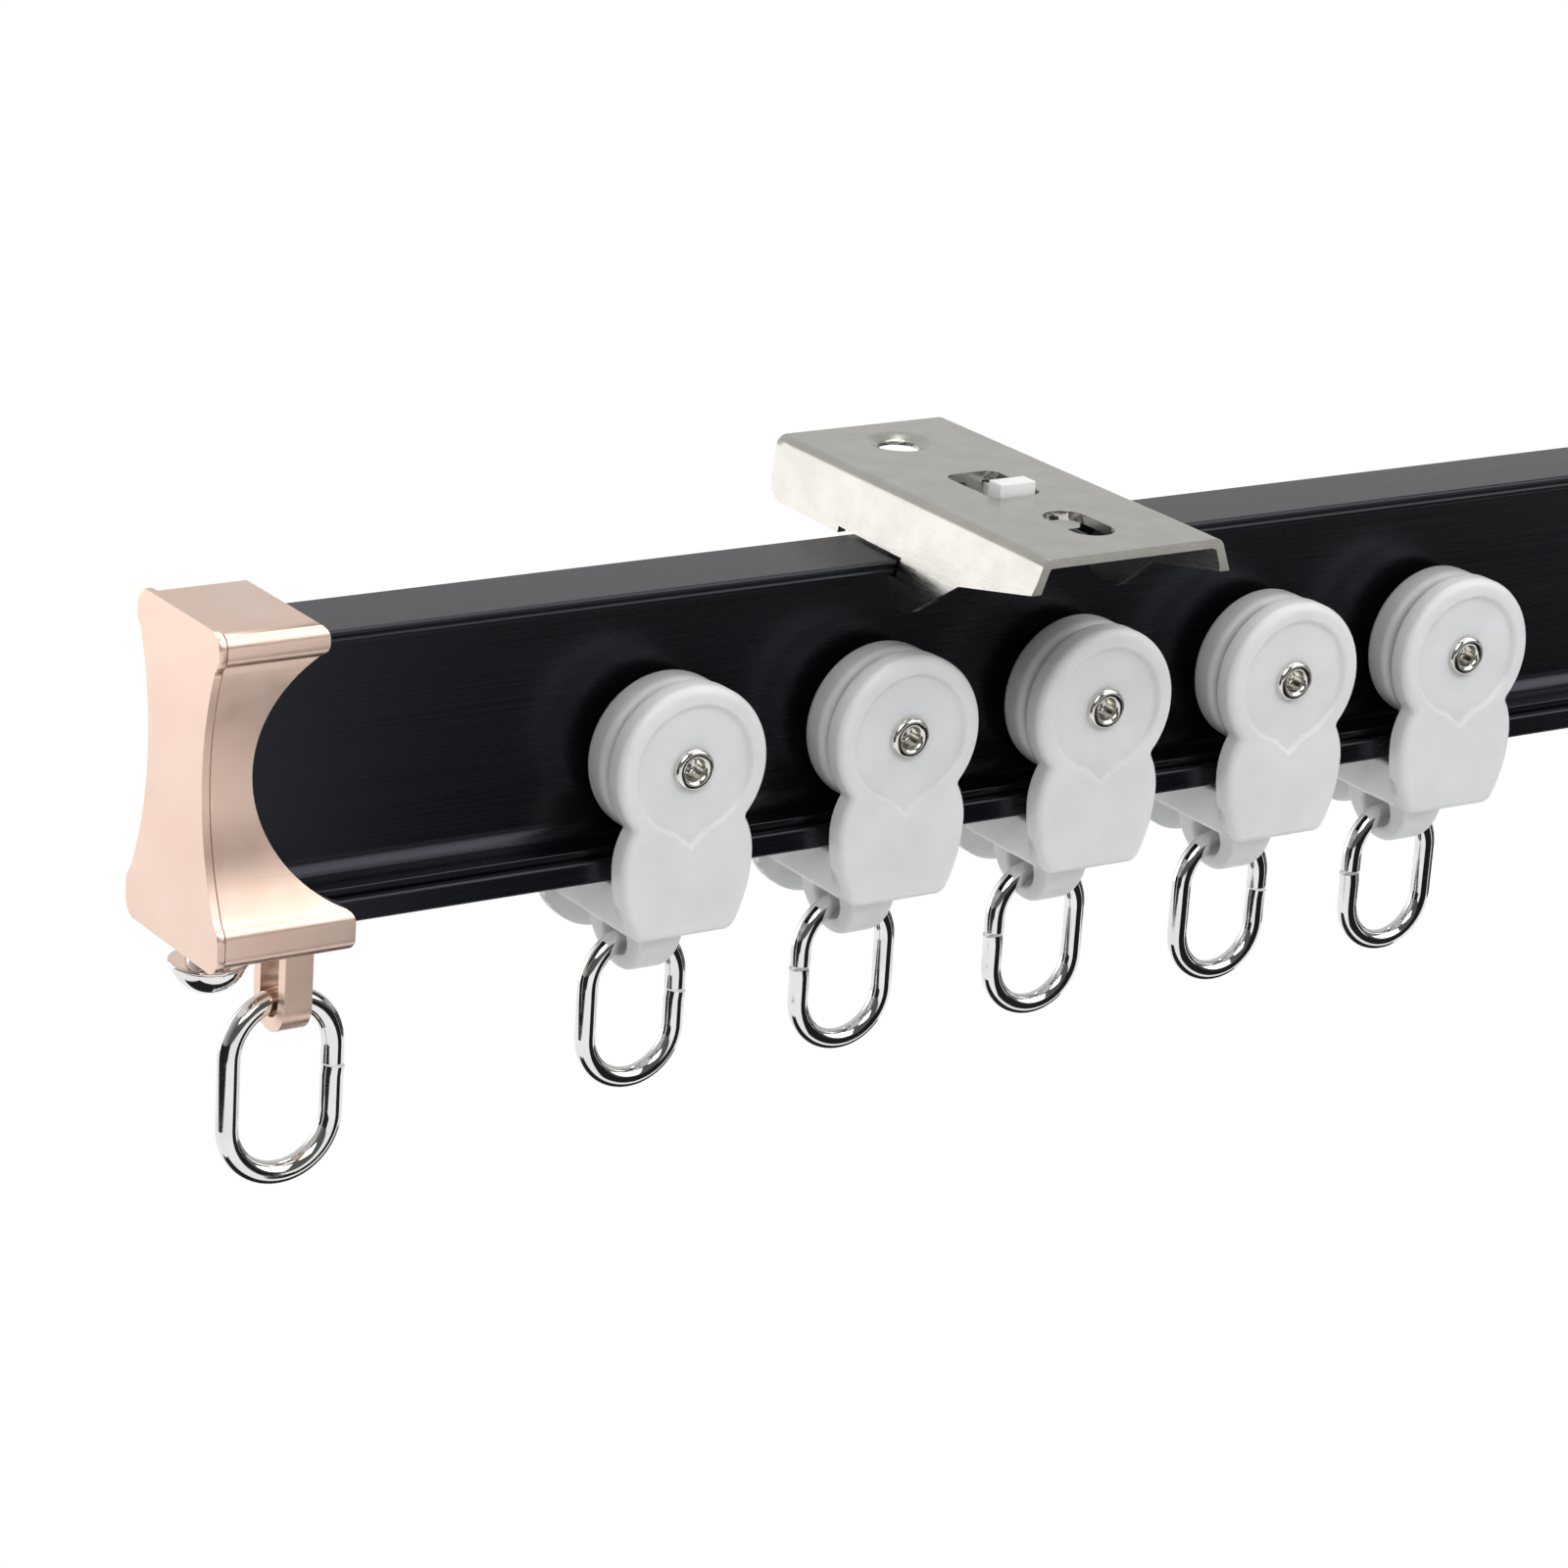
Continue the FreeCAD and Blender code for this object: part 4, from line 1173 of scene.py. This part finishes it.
# cards around the set that only reflections see, as x, y and z spans in mm
DARK_CARDS = {
    "right_card": (550, 560, -250, 350, FLOOR, -50),
    "left_card": (-480, -470, -520, 330, FLOOR, -40),
    "front_card": (0, 270, -160, -150, FLOOR, -50),
    "under_card": (-200, 250, -60, 120, FLOOR, FLOOR + 5),
}
WHITE_CARDS = {"rear_left_card": (-1100, -250, 800, 810, FLOOR, 350)}
CARD_GLOW = 1.75

# place from the front to the back of the room, and grey level there
ROOM_LEVELS = ((0.25, 0.10), (0.85, 0.67))


def make_camera():
    """Camera at the photo's place, worked out from the rail, bracket and carriers in it."""
    data = bpy.data.cameras.new("camera")
    data.lens = CAMERA_LENS
    data.sensor_width = CAMERA_SENSOR
    data.clip_start, data.clip_end = CAMERA_CLIP
    camera = bpy.data.objects.new("camera", data)
    bpy.context.scene.collection.objects.link(camera)
    place = Matrix.Translation(CAMERA_PLACE)
    for angle, axis in ((CAMERA_TURN, "Z"), (90 - CAMERA_FALL, "X"), (CAMERA_ROLL, "Z")):
        place = place @ Matrix.Rotation(math.radians(angle), 4, axis)
    camera.matrix_world = place
    bpy.context.scene.camera = camera


def make_lamp(name, place, size, power):
    """Square soft box turned to the object."""
    data = bpy.data.lights.new(name, "AREA")
    data.shape = "SQUARE"
    data.size = size
    data.energy = power
    light = bpy.data.objects.new(name, data)
    bpy.context.scene.collection.objects.link(light)
    light.location = place
    light.rotation_mode = "QUATERNION"
    light.rotation_quaternion = (Vector(AIM) - Vector(place)).to_track_quat("-Z", "Y")


def paper(name, glow):
    """White paper: plain white to the camera, glowing in reflections, diffuse to other light."""
    made = bpy.data.materials.new(name)
    made.use_nodes = True
    tree = made.node_tree
    tree.nodes.clear()
    ray = put(tree, "ShaderNodeLightPath").outputs
    seen = put(tree, "ShaderNodeMath", settings=[("operation", "MAXIMUM")],
               links=[(0, ray["Is Camera Ray"]), (1, ray["Is Glossy Ray"])])
    seen = put(tree, "ShaderNodeMath", settings=[("operation", "MAXIMUM")],
               links=[(0, seen.outputs[0]), (1, ray["Is Transmission Ray"])])
    dull = put(tree, "ShaderNodeBsdfDiffuse", values=[("Color", linear("F4F4F4"))])
    shine = put(tree, "ShaderNodeEmission", values=[("Color", linear("FFFFFF")), ("Strength", glow)])
    mixed = put(tree, "ShaderNodeMixShader",
                links=[(0, seen.outputs[0]), (1, dull.outputs[0]), (2, shine.outputs[0])])
    put(tree, "ShaderNodeOutputMaterial", links=[("Surface", mixed.outputs[0])])
    return made


def dark_card():
    """Matt black card, the dark band that polished metal mirrors in a studio."""
    made, tree, shader, place = finish_of("matt_black_card", Roughness=0.9)
    tint(tree, shader, grain(tree, place, size=4.0), "050505", "080808")
    return made


def make_cards(cards, finish):
    """Cards of one finish that only reflections see."""
    for name, corners in cards.items():
        card = stand_in(name, block(*corners))
        card.data.materials.append(finish)
        card.visible_camera = False
        card.visible_diffuse = False
        card.visible_shadow = False


def make_world():
    """Studio room, dim in front and brighter behind the object."""
    world = bpy.data.worlds.new("studio")
    bpy.context.scene.world = world
    world.use_nodes = True
    tree = world.node_tree
    way = put(tree, "ShaderNodeTexCoord").outputs["Generated"]
    parts = put(tree, "ShaderNodeSeparateXYZ", links=[("Vector", way)])
    depth = put(tree, "ShaderNodeMapRange", values=[("From Min", -1.0), ("From Max", 1.0)],
                links=[("Value", parts.outputs["Y"])])
    ramp = put(tree, "ShaderNodeValToRGB", links=[("Fac", depth.outputs["Result"])])
    for element, (position, level) in zip(ramp.color_ramp.elements, ROOM_LEVELS):
        element.position = position
        element.color = (level, level, level, 1)
    tree.links.new(ramp.outputs["Color"], tree.nodes["Background"].inputs["Color"])


def make_stage():
    """Paper floor, cards, soft boxes and room around the object."""
    reach = FLOOR_REACH
    floor = stand_in("paper_floor", block(-reach, reach, -reach, reach, FLOOR - FLOOR_THICKNESS, FLOOR))
    floor.data.materials.append(paper("white_paper_sweep", FLOOR_GLOW))
    make_cards(DARK_CARDS, dark_card())
    make_cards(WHITE_CARDS, paper("lit_white_card", CARD_GLOW))
    for lamp in LAMPS:
        make_lamp(*lamp)
    make_world()
    bpy.context.scene.view_settings.view_transform = "Standard"


make_rail()
make_cap("end_cap_left", LEFT_END, 1)
make_cap("end_cap_right", RIGHT_END, -1)
make_bracket()
make_latch()
make_spring()
make_screws()
make_rings()
make_carriers()
make_camera()
make_stage()
